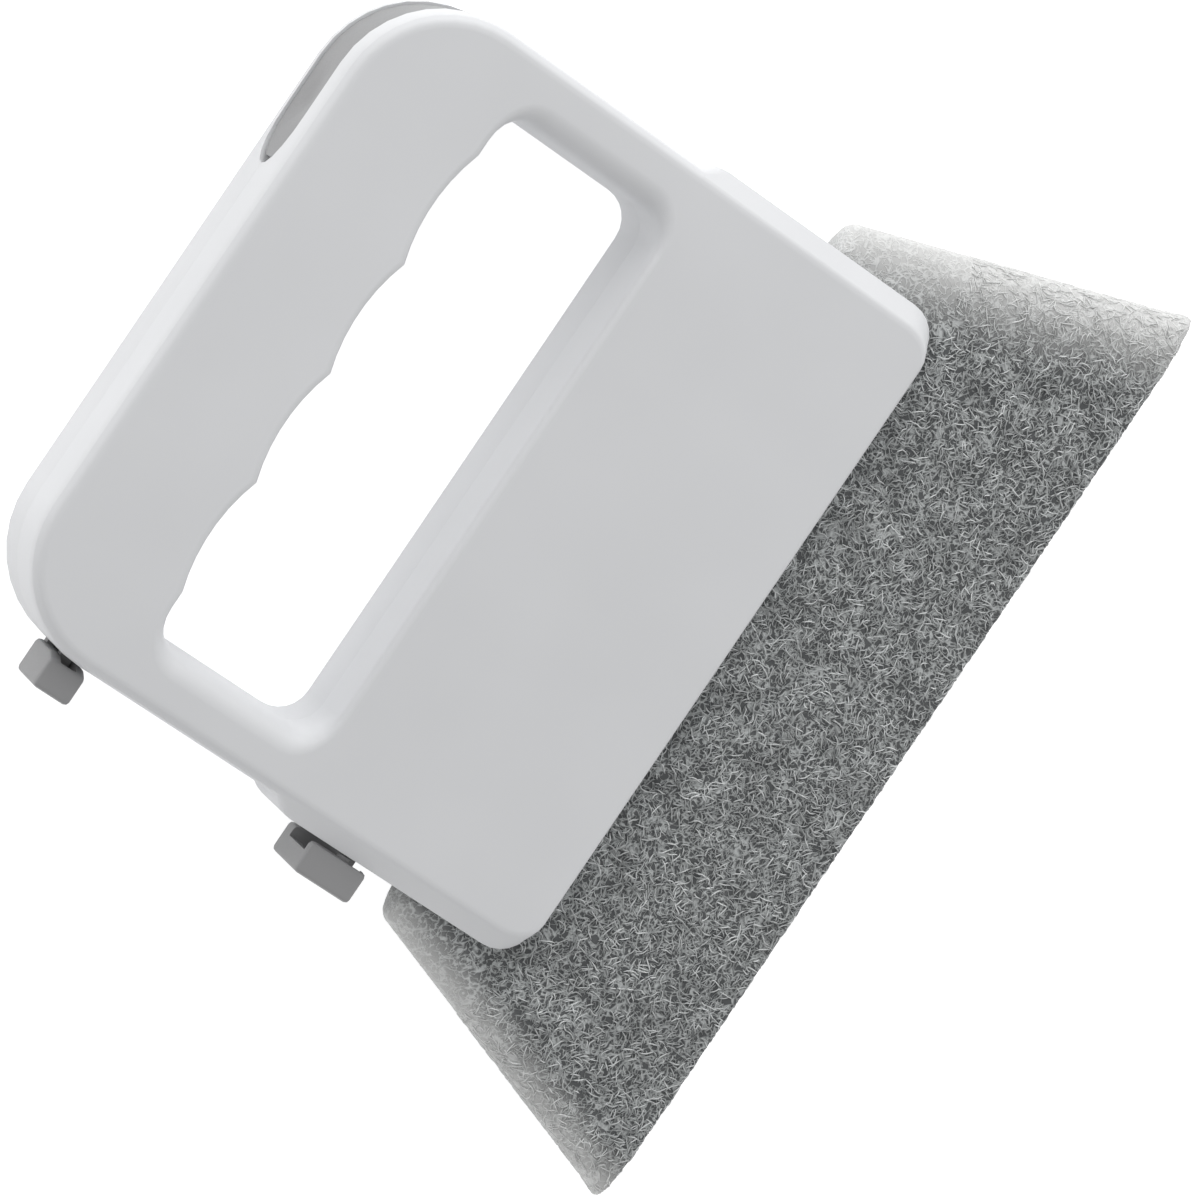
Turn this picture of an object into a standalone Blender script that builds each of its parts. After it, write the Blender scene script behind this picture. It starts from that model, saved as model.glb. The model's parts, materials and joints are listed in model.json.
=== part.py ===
"""A hand brush for window tracks: a two-part clamp handle that grips a scouring pad.

The brush lies on its back. X runs along the pad's working edge, Y from that edge towards the grip
and Z up through the thickness. Heights in the names and comments are measured along Y from the
working edge. Lengths are in metres.
"""
import math

import bmesh
import bpy
from mathutils import Vector

# Body: two shells that meet in the middle of the thickness
THICKNESS = 0.021
PARTING_GAP = 0.0003
SIDE_WALL = 0.0020
FACE_WALL = 0.0022
CLEARANCE = 0.0003

# Outline of the body, from the pad's working edge upwards
PAD_REACH = 0.0340
BODY_LENGTH = 0.0962
UPPER_HALF_WIDTH = 0.05385
SHOULDER_STEP = 0.00195
BOTTOM_CORNER_RADIUS = 0.0054
TOP_CORNER_RADIUS = 0.017
SHOULDER_RADIUS = 0.0055
FRONT_EDGE_RADIUS = 0.0022
REAR_EDGE_RADIUS = 0.0026
PAD_EDGE_RADIUS = 0.0010

# Hand hole with finger scallops. Its sides are rounded more than its upper and lower edge
GRIP_BAR = 0.0230
HOLE_LENGTH = 0.0296
HOLE_SIDE_BAR = 0.00915
HOLE_CORNER_RADIUS = 0.005
SCALLOP_COUNT = 4
SCALLOP_MARGIN = 0.0077
SCALLOP_DEPTH = 0.0015
FRONT_HOLE_SIDE_RADIUS = 0.0038
FRONT_HOLE_EDGE_RADIUS = 0.0012
REAR_HOLE_RADIUS = 0.0015
COLLAR_WALL = 0.0018
SHOULDER_ABOVE_HOLE = 0.0008

# Scouring pad
PAD_THICKNESS = 0.009
PAD_FREE_THICKNESS = 0.0105
PAD_BOTTOM_HALF_WIDTH = 0.0782
PAD_TOP_HALF_WIDTH = 0.0607
PAD_GRIP = 0.0182
PAD_SIDE_ROUND = 0.0075
PAD_CUT_CORNER = 0.0006
PAD_SWELL_LENGTH = 0.0040

# Ribs that bite the pad, the wall that its upper edge stops on, and stiffening ribs
STOP_WALL = 0.0022
BITE_RIB_COUNT = 3
BITE_RIB_WIDTH = 0.0016
BITE_TOOTH_PITCH = 0.0045
BITE_TOOTH_DEPTH = 0.0010
BITE_SIDE_MARGIN = 0.0030
BITE_END_MARGIN = 0.0012
STIFFENER_WALL = 0.0014
STIFFENER_HEIGHT = 0.0020
LOW_STIFFENER_X = 0.0240
GRIP_STIFFENER_X = 0.0270
GRIP_STIFFENER_SHIFT = 0.0060

# Lens-shaped opening for the release lever, across the parting line at the top corner
LENS_BEFORE_CORNER = 0.01775
LENS_LENGTH = 0.0421
LENS_REAR = 0.0065
LENS_FRONT = 0.0050
LENS_BLUNT_END = 0.0080
LENS_LONG_END = 0.0150
LENS_LEAST_SHARE = 0.012

# Release lever
LEVER_PLATE = 0.0020
LEVER_SUNK = 0.00035
LEVER_TIP_GAP = 0.0014
LEVER_SIDE_GAP = 0.00035
LEVER_PIVOT_FROM_END = 0.0089
LEVER_PIVOT_INSET = 0.0067
LEVER_PIVOT_RADIUS = 0.0010
LEVER_BOSS_RADIUS = 0.0024
LEVER_WEB = 0.0036
LEVER_DEPTH = 0.0042
THUMB_DIP_DEPTH = 0.0008
THUMB_DIP_LENGTH = 0.0120
THUMB_DIP_FROM_TIP = 0.0115
HOOK_WIDTH = 0.0026
HOOK_DEPTH = 0.0027
HOOK_DROP = 0.0080
HOOK_BAR = 0.0020
HOOK_SIDE_GAP = 0.0009
KEEPER_WIDTH = 0.0040
KEEPER_WALL = 0.0016
KEEPER_FROM_TIP = 0.0008
KEEPER_BELOW_LEVER = 0.0012
PIN_HEAD_HEIGHT = 0.0009

# Return spring of the lever
SPRING_FROM_TIP = 0.0105
SPRING_RADIUS = 0.0019
SPRING_WIRE = 0.0006
SPRING_TURNS = 6
SPRING_POINTS_PER_TURN = 10
SPRING_SEAT_HEIGHT = 0.0144
SPRING_SEAT_WALL = 0.0015
SPRING_SUNK = 0.0006
SPIGOT_RADIUS = 0.0011
SPIGOT_LENGTH = 0.0014

# Inner frame
FRAME_THICKNESS = 0.0018
FRAME_BELOW_PARTING = 0.0012
FRAME_EDGE_GAP = 0.0005
FRAME_LEVER_ROOM = 0.0012
FRAME_SCREW_LEFT = 0.0200
FRAME_SCREW_BEFORE_LENS = 0.0091
FRAME_SCREW_INSET = 0.0078

# Hinges on the -X side. Each leaf hangs from its pin as a gooseneck, behind the block's front wall
HINGE_OUTSIDE = 0.0023
HINGE_ABOVE_PAD = 0.0008
HINGE_PIN_RADIUS = 0.00045
HINGE_PIN_BLIND = 0.0005
HINGE_LEAF_RADIUS = 0.0010
HINGE_LEAF_DROP = 0.0024
HINGE_LEAF_THICKNESS = 0.0017
HINGE_FOOT_LENGTH = 0.0052
HINGE_LIP = 0.0018
UPPER_HINGE_BELOW_TOP = 0.0162
LOWER_BLOCK_ABOVE_STOP = 0.0099
UPPER_BLOCK_REACH = 0.00585
UPPER_BLOCK_DEPTH = 0.0123
UPPER_BLOCK_LENGTH = 0.0061
UPPER_BLOCK_GAP = 0.0011
UPPER_LEAF_LENGTH = 0.0020
UPPER_FOOT_LENGTH = 0.0038
LOWER_BLOCK_REACH = 0.0059
LOWER_BLOCK_DEPTH = 0.0143
LOWER_BLOCK_LENGTH = 0.0098
LOWER_LEAF_LOWERED = 0.00285
LOWER_BLOCK_GAP = 0.0008
LOWER_LEAF_LENGTH = 0.0016
LOWER_FOOT_LENGTH = 0.0060
LOWER_KNUCKLE_LENGTH = 0.0026
BLOCK_WEB = 0.0033
BLOCK_FRONT_WALL = 0.0014
BLOCK_EDGE_RADIUS = 0.0007
NUB_LENGTH = 0.0019
NUB_SUNK = 0.0012
FOOT_THICKNESS = 0.0018
HINGE_SCREW_INSET = 0.0083
LEAF_SCREW_INSET = 0.0155

# Screws and posts
SCREW_RADIUS = 0.0011
SCREW_POINT = 0.0006
SCREW_HEAD_RADIUS = 0.0021
SCREW_HEAD_HEIGHT = 0.0014
SCREW_HEAD_ROOM = 0.0006
SCREW_BITE = 0.0024
POST_RADIUS = 0.0024
FIT = 0.00015

# How far a cutter passes the face that it cuts, a piece reaches into the one that it is welded to,
# and two faces in one solid stay apart
PAST = 0.0010
WELD = 0.0010
STEP_BACK = 0.0001

# Places and levels that follow from the sizes above
OVERALL_LENGTH = PAD_REACH + BODY_LENGTH
BODY_TOP = OVERALL_LENGTH
LOWER_HALF_WIDTH = UPPER_HALF_WIDTH + SHOULDER_STEP
HOLE_HALF_WIDTH = UPPER_HALF_WIDTH - HOLE_SIDE_BAR
SCALLOP_PITCH = 2 * (HOLE_HALF_WIDTH - SCALLOP_MARGIN) / SCALLOP_COUNT
HOLE_TOP = BODY_TOP - GRIP_BAR
HOLE_BOTTOM = HOLE_TOP - HOLE_LENGTH
SHOULDER_TOP = HOLE_BOTTOM + SHOULDER_ABOVE_HOLE
PARTING = THICKNESS / 2
PAD_TOP = PAD_REACH + PAD_GRIP
STOP_LOW = PAD_TOP + CLEARANCE
STOP_HIGH = STOP_LOW + STOP_WALL
INNER_HALF_WIDTH = LOWER_HALF_WIDTH - SIDE_WALL
FRAME_HIGH = PARTING - FRAME_BELOW_PARTING
FRAME_LOW = FRAME_HIGH - FRAME_THICKNESS
FOOT_HIGH = FRAME_LOW - CLEARANCE
FOOT_LOW = FOOT_HIGH - FOOT_THICKNESS
HINGE_X = -LOWER_HALF_WIDTH - HINGE_OUTSIDE
HINGE_Z = PARTING + PAD_THICKNESS / 2 + HINGE_ABOVE_PAD
BLOCK_FRONT = HINGE_Z + HINGE_LIP
UPPER_HINGE = BODY_TOP - UPPER_HINGE_BELOW_TOP
LOWER_BLOCK_MIDDLE = STOP_HIGH + LOWER_BLOCK_ABOVE_STOP
LOWER_HINGE = LOWER_BLOCK_MIDDLE - LOWER_LEAF_LOWERED
CORNER_X = UPPER_HALF_WIDTH - TOP_CORNER_RADIUS
CORNER_Y = BODY_TOP - TOP_CORNER_RADIUS
LENS_LEFT = CORNER_X - LENS_BEFORE_CORNER
LEVER_LOW = FRAME_HIGH + CLEARANCE
PIVOT_ALONG = LENS_LENGTH - LEVER_PIVOT_FROM_END
PIVOT_TURN = (PIVOT_ALONG - LENS_BEFORE_CORNER) / TOP_CORNER_RADIUS
PIVOT_X = CORNER_X + (TOP_CORNER_RADIUS - LEVER_PIVOT_INSET) * math.sin(PIVOT_TURN)
PIVOT_Y = CORNER_Y + (TOP_CORNER_RADIUS - LEVER_PIVOT_INSET) * math.cos(PIVOT_TURN)

ARC_STEPS = 6
FILLET_STEPS = 3
ROUND_SIDES = 16


def remove_old_objects():
    for old in list(bpy.data.objects):
        bpy.data.objects.remove(old, do_unlink=True)


def spot(x, height, z):
    """A point given by its height above the working edge, as a place in the world."""
    return Vector((x, height - OVERALL_LENGTH / 2, z))


def oval_arc(centre, reach_x, reach_y, start, end, steps):
    """Points on part of an oval, from the start angle to the end angle in degrees."""
    turns = [math.radians(start + (end - start) * i / steps) for i in range(steps + 1)]
    return [(centre[0] + reach_x * math.cos(t), centre[1] + reach_y * math.sin(t)) for t in turns]


def arc(centre, radius, start, end, steps):
    return oval_arc(centre, radius, radius, start, end, steps)


def mirrored(points):
    return [(-x, y) for x, y in reversed(points)]


def fillet_inset(radius, depth):
    """How far a rounded edge lies behind its side face, at a depth below the end face."""
    left = max(radius - depth, 0.0)
    return radius - math.sqrt(radius ** 2 - left ** 2)


def fillet_depths(radii):
    """Depths from 0 at which fillets of several radii are faceted. Depths that nearly meet are left out."""
    found = {radius * (1 - math.cos(math.pi / 2 * i / FILLET_STEPS))
             for radius in radii for i in range(1, FILLET_STEPS + 1)}
    kept = [max(found)]
    for depth in sorted(found, reverse=True):
        if kept[-1] - depth > STEP_BACK and depth > STEP_BACK:
            kept.append(depth)
    return [0.0] + kept[::-1]


def body_outline(inset, step=SHOULDER_STEP, pad_inset=None):
    """The body's outline, drawn in by an inset.

    The lower half is wider by a step, up to a soft shoulder. The edge over the pad can have its
    own inset.
    """
    low = inset if pad_inset is None else pad_inset
    wide = UPPER_HALF_WIDTH + step
    outer = math.acos(1 - step / SHOULDER_RADIUS)
    shoulder = (wide - SHOULDER_RADIUS, SHOULDER_TOP - SHOULDER_RADIUS * math.sin(outer))
    radius = SHOULDER_RADIUS - inset
    turn = math.degrees(math.acos(1 - step / radius))
    corner = (wide - BOTTOM_CORNER_RADIUS, PAD_REACH + BOTTOM_CORNER_RADIUS)
    right = oval_arc(corner, BOTTOM_CORNER_RADIUS - inset, BOTTOM_CORNER_RADIUS - low, -90, 0, ARC_STEPS)
    right += arc(shoulder, radius, 0, turn, 4)
    right += arc((CORNER_X, CORNER_Y), TOP_CORNER_RADIUS - inset, 0, 90, ARC_STEPS + 3)
    return right + mirrored(right)


def hole_outline(grow, edge_grow=None):
    """The hand hole's outline, widened by an amount. Its upper edge is a row of finger scallops.

    Its upper and lower edge can have an amount of their own.
    """
    edge = grow if edge_grow is None else edge_grow
    reach_x, reach_y = HOLE_CORNER_RADIUS + grow, HOLE_CORNER_RADIUS + edge
    side = HOLE_HALF_WIDTH - HOLE_CORNER_RADIUS
    low = HOLE_BOTTOM + HOLE_CORNER_RADIUS
    high = HOLE_TOP - HOLE_CORNER_RADIUS
    half_pitch = SCALLOP_PITCH / 2
    scallop = (half_pitch ** 2 + SCALLOP_DEPTH ** 2) / (2 * SCALLOP_DEPTH)
    centre_y = HOLE_TOP + SCALLOP_DEPTH - scallop
    reach = scallop + edge
    inner = math.degrees(math.asin(half_pitch / reach))
    rim = math.degrees(math.acos((HOLE_TOP + edge - centre_y) / reach))
    points = oval_arc((side, low), reach_x, reach_y, -90, 0, ARC_STEPS)
    points += oval_arc((side, high), reach_x, reach_y, 0, 90, ARC_STEPS)
    for i in range(SCALLOP_COUNT):
        centre_x = SCALLOP_PITCH * ((SCALLOP_COUNT - 1) / 2 - i)
        start = rim if i == 0 else inner
        end = rim if i == SCALLOP_COUNT - 1 else inner
        points += arc((centre_x, centre_y), reach, 90 - start, 90 + end, 7)[i > 0:]
    points += oval_arc((-side, high), reach_x, reach_y, 90, 180, ARC_STEPS)
    points += oval_arc((-side, low), reach_x, reach_y, 180, 270, ARC_STEPS)
    return points


def material(name, colour, roughness, metallic=0.0):
    made = bpy.data.materials.new(name)
    made.use_nodes = True
    shader = made.node_tree.nodes["Principled BSDF"]
    shader.inputs["Base Color"].default_value = (*colour, 1.0)
    shader.inputs["Roughness"].default_value = roughness
    shader.inputs["Metallic"].default_value = metallic
    return made


def solid(name, bm, finish=None, origin=(0.0, 0.0, 0.0)):
    """Makes an object from a closed mesh in world coordinates, with its own origin."""
    bmesh.ops.recalc_face_normals(bm, faces=bm.faces)
    origin = Vector(origin)
    bmesh.ops.translate(bm, vec=-origin, verts=bm.verts)
    mesh = bpy.data.meshes.new(name)
    bm.to_mesh(mesh)
    bm.free()
    mesh.shade_smooth()
    mesh.set_sharp_from_angle(angle=math.radians(35))
    made = bpy.data.objects.new(name, mesh)
    made.location = origin
    bpy.context.scene.collection.objects.link(made)
    if finish:
        mesh.materials.append(finish)
    return made


def add_loft(bm, rings):
    """Joins rings of points with faces and closes both ends."""
    rows = [[bm.verts.new(point) for point in ring] for ring in rings]
    for low, high in zip(rows, rows[1:]):
        for i in range(len(low)):
            j = (i + 1) % len(low)
            bm.faces.new((low[i], low[j], high[j], high[i]))
    bm.faces.new(list(reversed(rows[0])))
    bm.faces.new(rows[-1])


def loft(name, rings, finish=None, origin=(0.0, 0.0, 0.0)):
    bm = bmesh.new()
    add_loft(bm, rings)
    return solid(name, bm, finish, origin)


def slab(name, outline, low, high, finish=None):
    """An outline in the XY plane, extruded between two levels."""
    return loft(name, [[spot(x, y, z) for x, y in outline] for z in (low, high)], finish)


def box_rings(x, y, z):
    return [[spot(x[0], y[0], level), spot(x[1], y[0], level),
             spot(x[1], y[1], level), spot(x[0], y[1], level)] for level in z]


def box(name, x, y, z, finish=None):
    return loft(name, box_rings(x, y, z), finish)


def turned(centre_x, centre_y, profile, sides=ROUND_SIDES):
    """Rings about an axis along Z, from pairs of radius and level."""
    return [[spot(centre_x + radius * math.cos(2 * math.pi * i / sides),
                  centre_y + radius * math.sin(2 * math.pi * i / sides), level)
             for i in range(sides)] for radius, level in profile]


def rod(name, centre_x, centre_y, radius, low, high, finish=None, origin=(0.0, 0.0, 0.0)):
    return loft(name, turned(centre_x, centre_y, ((radius, low), (radius, high))), finish, origin)


def rod_along_y(name, x, z, radius, low, high, finish=None, origin=(0.0, 0.0, 0.0)):
    rings = [[spot(x + radius * math.cos(2 * math.pi * i / ROUND_SIDES), height,
                   z + radius * math.sin(2 * math.pi * i / ROUND_SIDES))
              for i in range(ROUND_SIDES)] for height in (low, high)]
    return loft(name, rings, finish, origin)


def boolean(target, operation, operands):
    """Adds one exact Boolean for each operand, and turns the operands into guides."""
    for operand in operands:
        modifier = target.modifiers.new(operand.name, "BOOLEAN")
        modifier.operation = operation
        modifier.solver = "EXACT"
        modifier.object = operand
        operand.hide_render = True
        operand.display_type = "WIRE"


def carve(target, *cutters):
    boolean(target, "DIFFERENCE", cutters)


def weld(target, *pieces):
    boolean(target, "UNION", pieces)


def round_edges(target, width, segments=2):
    modifier = target.modifiers.new("edges", "BEVEL")
    modifier.width = width
    modifier.segments = segments
    modifier.limit_method = "ANGLE"
    modifier.angle_limit = math.radians(40)


def path_point(along, inset):
    """A point under the body's top edge and round its corner, by the length along that edge."""
    straight = CORNER_X - LENS_LEFT
    if along <= straight:
        return LENS_LEFT + along, BODY_TOP - inset
    turn = (along - straight) / TOP_CORNER_RADIUS
    radius = TOP_CORNER_RADIUS - inset
    return CORNER_X + radius * math.sin(turn), CORNER_Y + radius * math.cos(turn)


def lens_share(along):
    """How wide the lens opening is at a place, from 0 at its tips to 1."""
    left = min(max(along / LENS_BLUNT_END, 0.0), 1.0)
    right = min(max((LENS_LENGTH - along) / LENS_LONG_END, 0.0), 1.0)
    return math.sqrt(1 - (1 - left) ** 2) * math.sqrt(1 - (1 - right) ** 2)


def lens_stations(start, end, count):
    """Places along the lens, closer together towards its tips."""
    return [start + (end - start) * (1 - math.cos(math.pi * i / count)) / 2 for i in range(count + 1)]


def lens_cutter(name):
    outside, inside = -PAST, SIDE_WALL + PAST
    rings = []
    for along in lens_stations(0.0, LENS_LENGTH, 16):
        share = max(lens_share(along), LENS_LEAST_SHARE)
        low = PARTING - LENS_REAR * share
        high = PARTING + LENS_FRONT * share
        rings.append([spot(*path_point(along, inset), level) for inset, level in
                      ((outside, low), (outside, high), (inside, high), (inside, low))])
    return loft(name, rings)


def frame_screw_places():
    """Screws that hold only the inner frame: two in the grip bar, two under the hand hole."""
    grip = (HOLE_TOP + COLLAR_WALL + BODY_TOP - SIDE_WALL) / 2
    low = (STOP_HIGH + HOLE_BOTTOM - COLLAR_WALL) / 2
    return ((-FRAME_SCREW_LEFT, grip), (LENS_LEFT - FRAME_SCREW_BEFORE_LENS, grip), (0.0, low),
            (INNER_HALF_WIDTH - FRAME_SCREW_INSET, low))


def hinge_screw_places():
    """Screws that pass through a block's foot and the inner frame."""
    x = -UPPER_HALF_WIDTH + HINGE_SCREW_INSET
    return (x, UPPER_HINGE), (x, LOWER_BLOCK_MIDDLE)


def rib_reach(middle, width):
    return middle - width / 2, middle + width / 2


def bulge_step(edge_radius, deep):
    """How far the lower half stands out at a depth: nowhere in the face, then along a 45 degree slope."""
    side_reach = edge_radius - fillet_inset(edge_radius, deep)
    slope_reach = edge_radius * (math.sqrt(2) - 1) + deep
    on_slope = deep > edge_radius * (1 - math.cos(math.pi / 4))
    return min(max(slope_reach - side_reach, STEP_BACK / 4), SHOULDER_STEP) if on_slope else STEP_BACK / 4


def shell_blank(name, level, depth, edge_radius, finish):
    """The solid form of a shell. Its lower half bulges out under a face with straight sides."""
    slope_end = SHOULDER_STEP + edge_radius * (2 - math.sqrt(2))
    rings = []
    for deep in fillet_depths((PAD_EDGE_RADIUS, edge_radius)) + [slope_end, depth]:
        outline = body_outline(fillet_inset(edge_radius, deep), bulge_step(edge_radius, deep),
                               fillet_inset(PAD_EDGE_RADIUS, deep))
        rings.append([spot(x, y, level(deep)) for x, y in outline])
    return loft(name, rings, finish)


def chamber_cutter(name, level, past):
    """The hollow of a shell. It follows the slope of the lower half's sides."""
    rings = [[spot(x, y, level(deep)) for x, y in body_outline(SIDE_WALL, step)]
             for deep, step in ((FACE_WALL, STEP_BACK / 4), (FACE_WALL + SHOULDER_STEP, SHOULDER_STEP),
                                (past, SHOULDER_STEP))]
    return loft(name, rings)


def hole_cutter(name, level, depth, side_radius, edge_radius):
    """The hand hole with its rounded rim."""
    rings = [[spot(x, y, level(-PAST)) for x, y in hole_outline(side_radius, edge_radius)]]
    for deep in fillet_depths((side_radius, edge_radius)) + [depth]:
        outline = hole_outline(fillet_inset(side_radius, deep), fillet_inset(edge_radius, deep))
        rings.append([spot(x, y, level(deep)) for x, y in outline])
    return loft(name, rings)


def half_shell(name, face, inward, edge_radius, hole_radii, posts, finish):
    """One moulded half of the body: a filleted tray with a collar, a pad seat and posts.

    face is the level of the outer face, and inward is 1 where depth runs up and -1 where it
    runs down. hole_radii round the hole's sides and its upper and lower edge. posts holds centre,
    radius and depth of each screw post.
    """
    depth = PARTING - PARTING_GAP / 2
    past = depth + 2 * PAST

    def level(value):
        return face + inward * value

    shell = shell_blank(name, level, depth, edge_radius, finish)
    chamber = chamber_cutter(name + "_chamber", level, past)
    deep = (level(FACE_WALL - WELD), level(past + PAST))
    keep = [slab(name + "_collar", hole_outline(COLLAR_WALL), *deep)]
    wide = (-LOWER_HALF_WIDTH - PAST, LOWER_HALF_WIDTH + PAST)
    keep.append(box(name + "_stop_wall", wide, (STOP_LOW - WELD, STOP_HIGH), deep))
    for i in range(BITE_RIB_COUNT):
        middle = PAD_REACH + SIDE_WALL + (PAD_GRIP - SIDE_WALL) * (i + 0.6) / BITE_RIB_COUNT
        keep.append(box(f"{name}_bite_rib_{i + 1}", wide, rib_reach(middle, BITE_RIB_WIDTH), deep))
    rib_levels = (level(FACE_WALL - WELD), level(FACE_WALL + STIFFENER_HEIGHT))
    low = (STOP_HIGH - WELD, HOLE_BOTTOM - COLLAR_WALL / 2)
    grip = (HOLE_TOP + SCALLOP_DEPTH + COLLAR_WALL / 2, BODY_TOP - SIDE_WALL + WELD)
    for i in (-1, 1):
        reach = rib_reach(i * LOW_STIFFENER_X, STIFFENER_WALL)
        keep.append(box(f"{name}_low_stiffener_{i}", reach, low, rib_levels))
        reach = rib_reach(i * GRIP_STIFFENER_X - GRIP_STIFFENER_SHIFT, STIFFENER_WALL)
        keep.append(box(f"{name}_grip_stiffener_{i}", reach, grip, rib_levels))
    for i, (x, y, radius, top) in enumerate(posts):
        keep.append(rod(f"{name}_post_{i + 1}", x, y, radius, level(FACE_WALL - WELD), level(top)))
    carve(chamber, *keep)

    hole = hole_cutter(name + "_hole", level, past, *hole_radii)
    seat = PARTING - PAD_THICKNESS / 2 - CLEARANCE
    slot = box(name + "_pad_slot", (-PAD_BOTTOM_HALF_WIDTH, PAD_BOTTOM_HALF_WIDTH),
               (PAD_REACH - PAST, STOP_LOW), (level(seat), level(past)))
    teeth = saw_cutter(name + "_teeth", level(seat - BITE_TOOTH_DEPTH), level(seat), level(past))
    carve(shell, chamber, hole, slot, teeth, lens_cutter(name + "_lens"))
    return shell


def saw_cutter(name, valley, crest, high):
    """A bar with a saw-toothed face, which leaves teeth along the ribs under the pad."""
    half = INNER_HALF_WIDTH - BITE_SIDE_MARGIN
    count = int(2 * half / BITE_TOOTH_PITCH)
    pitch = 2 * half / count
    edge = [(-half, crest)]
    for i in range(count):
        edge.append((-half + (i + 0.5) * pitch, valley))
        edge.append((-half + (i + 1) * pitch, crest))
    outline = edge + [(half, high), (-half, high)]
    reach = (PAD_REACH + SIDE_WALL + BITE_END_MARGIN / 2, STOP_LOW - BITE_END_MARGIN)
    return loft(name, [[spot(x, height, z) for x, z in outline] for height in reach])


def side_window(name, place, length, levels):
    """An opening in the shell's left side, with clearance round what passes through it."""
    return box(name, (-LOWER_HALF_WIDTH - PAST, -UPPER_HALF_WIDTH + SIDE_WALL + PAST),
               rib_reach(place, length + 2 * CLEARANCE), (levels[0] - CLEARANCE, levels[1] + CLEARANCE))


def make_rear_shell(finish):
    posts = [(x, y, POST_RADIUS, FRAME_LOW - CLEARANCE) for x, y in frame_screw_places()]
    posts += [(x, y, POST_RADIUS, FOOT_LOW - CLEARANCE) for x, y in hinge_screw_places()]
    posts.append((PIVOT_X, PIVOT_Y, POST_RADIUS, FRAME_LOW - CLEARANCE))
    radii = (REAR_HOLE_RADIUS, REAR_HOLE_RADIUS)
    shell = half_shell("rear_shell", 0.0, 1, REAR_EDGE_RADIUS, radii, posts, finish)
    cuts = []
    for i, (x, y) in enumerate(frame_screw_places() + hinge_screw_places()):
        top = FRAME_LOW if i < len(frame_screw_places()) else FOOT_LOW
        cuts.append(rod(f"rear_screw_hole_{i + 1}", x, y, SCREW_RADIUS + FIT,
                        top - SCREW_BITE - 2 * CLEARANCE, top))
    cuts.append(rod("rear_pivot_hole", PIVOT_X, PIVOT_Y, LEVER_PIVOT_RADIUS + FIT,
                    FRAME_LOW - SCREW_BITE - 2 * CLEARANCE, FRAME_LOW))
    feet = (FOOT_LOW, FOOT_HIGH)
    cuts.append(side_window("rear_window_1", UPPER_HINGE, UPPER_FOOT_LENGTH, feet))
    cuts.append(side_window("rear_window_2", LOWER_BLOCK_MIDDLE, LOWER_FOOT_LENGTH, feet))
    carve(shell, *cuts)
    return shell


def keeper_span():
    """The keeper's places across the grip bar, beside the lever's hook."""
    right = LENS_LEFT + LEVER_TIP_GAP + KEEPER_FROM_TIP
    return right - KEEPER_WIDTH, right


def hook_heights():
    """Lower and upper edge of the hook's bar."""
    high = BODY_TOP - LEVER_SUNK - LEVER_PLATE - HOOK_DROP
    return high - HOOK_BAR, high


def leaf_levels():
    """Back and front level of the leaf, where it passes through the side wall."""
    front = HINGE_Z - HINGE_LEAF_DROP
    return front - HINGE_LEAF_THICKNESS, front


def leaf_screw_places():
    x = -UPPER_HALF_WIDTH + LEAF_SCREW_INSET
    return (x, UPPER_HINGE), (x, LOWER_HINGE)


def make_front_shell(finish):
    low, high = leaf_levels()
    post_depth = THICKNESS - high - CLEARANCE
    posts = [(x, y, POST_RADIUS, post_depth) for x, y in leaf_screw_places()]
    radii = (FRONT_HOLE_SIDE_RADIUS, FRONT_HOLE_EDGE_RADIUS)
    shell = half_shell("front_shell", THICKNESS, -1, FRONT_EDGE_RADIUS, radii, posts, finish)
    cuts = []
    for i, (x, y) in enumerate(leaf_screw_places()):
        cuts.append(rod(f"front_screw_hole_{i + 1}", x, y, SCREW_RADIUS + FIT, high, high + SCREW_BITE))
    cuts.append(side_window("front_window_1", UPPER_HINGE, UPPER_LEAF_LENGTH, (low, high)))
    cuts.append(side_window("front_window_2", LOWER_HINGE, LOWER_LEAF_LENGTH, (low, high)))
    carve(shell, *cuts)

    left, right = keeper_span()
    bar_high = hook_heights()[1]
    foot = (bar_high + CLEARANCE, bar_high + CLEARANCE + 2 * KEEPER_WALL)
    foot_low = LEVER_LOW - KEEPER_BELOW_LEVER
    rib = box("keeper_rib", (left, right), (foot[0] + KEEPER_WALL, foot[1]),
              (foot_low + STEP_BACK, THICKNESS - FACE_WALL + WELD))
    ledge = box("keeper_ledge", (left, right), foot, (foot_low, foot_low + KEEPER_BELOW_LEVER - STEP_BACK))
    weld(rib, ledge)
    weld(shell, rib)
    return shell


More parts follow.
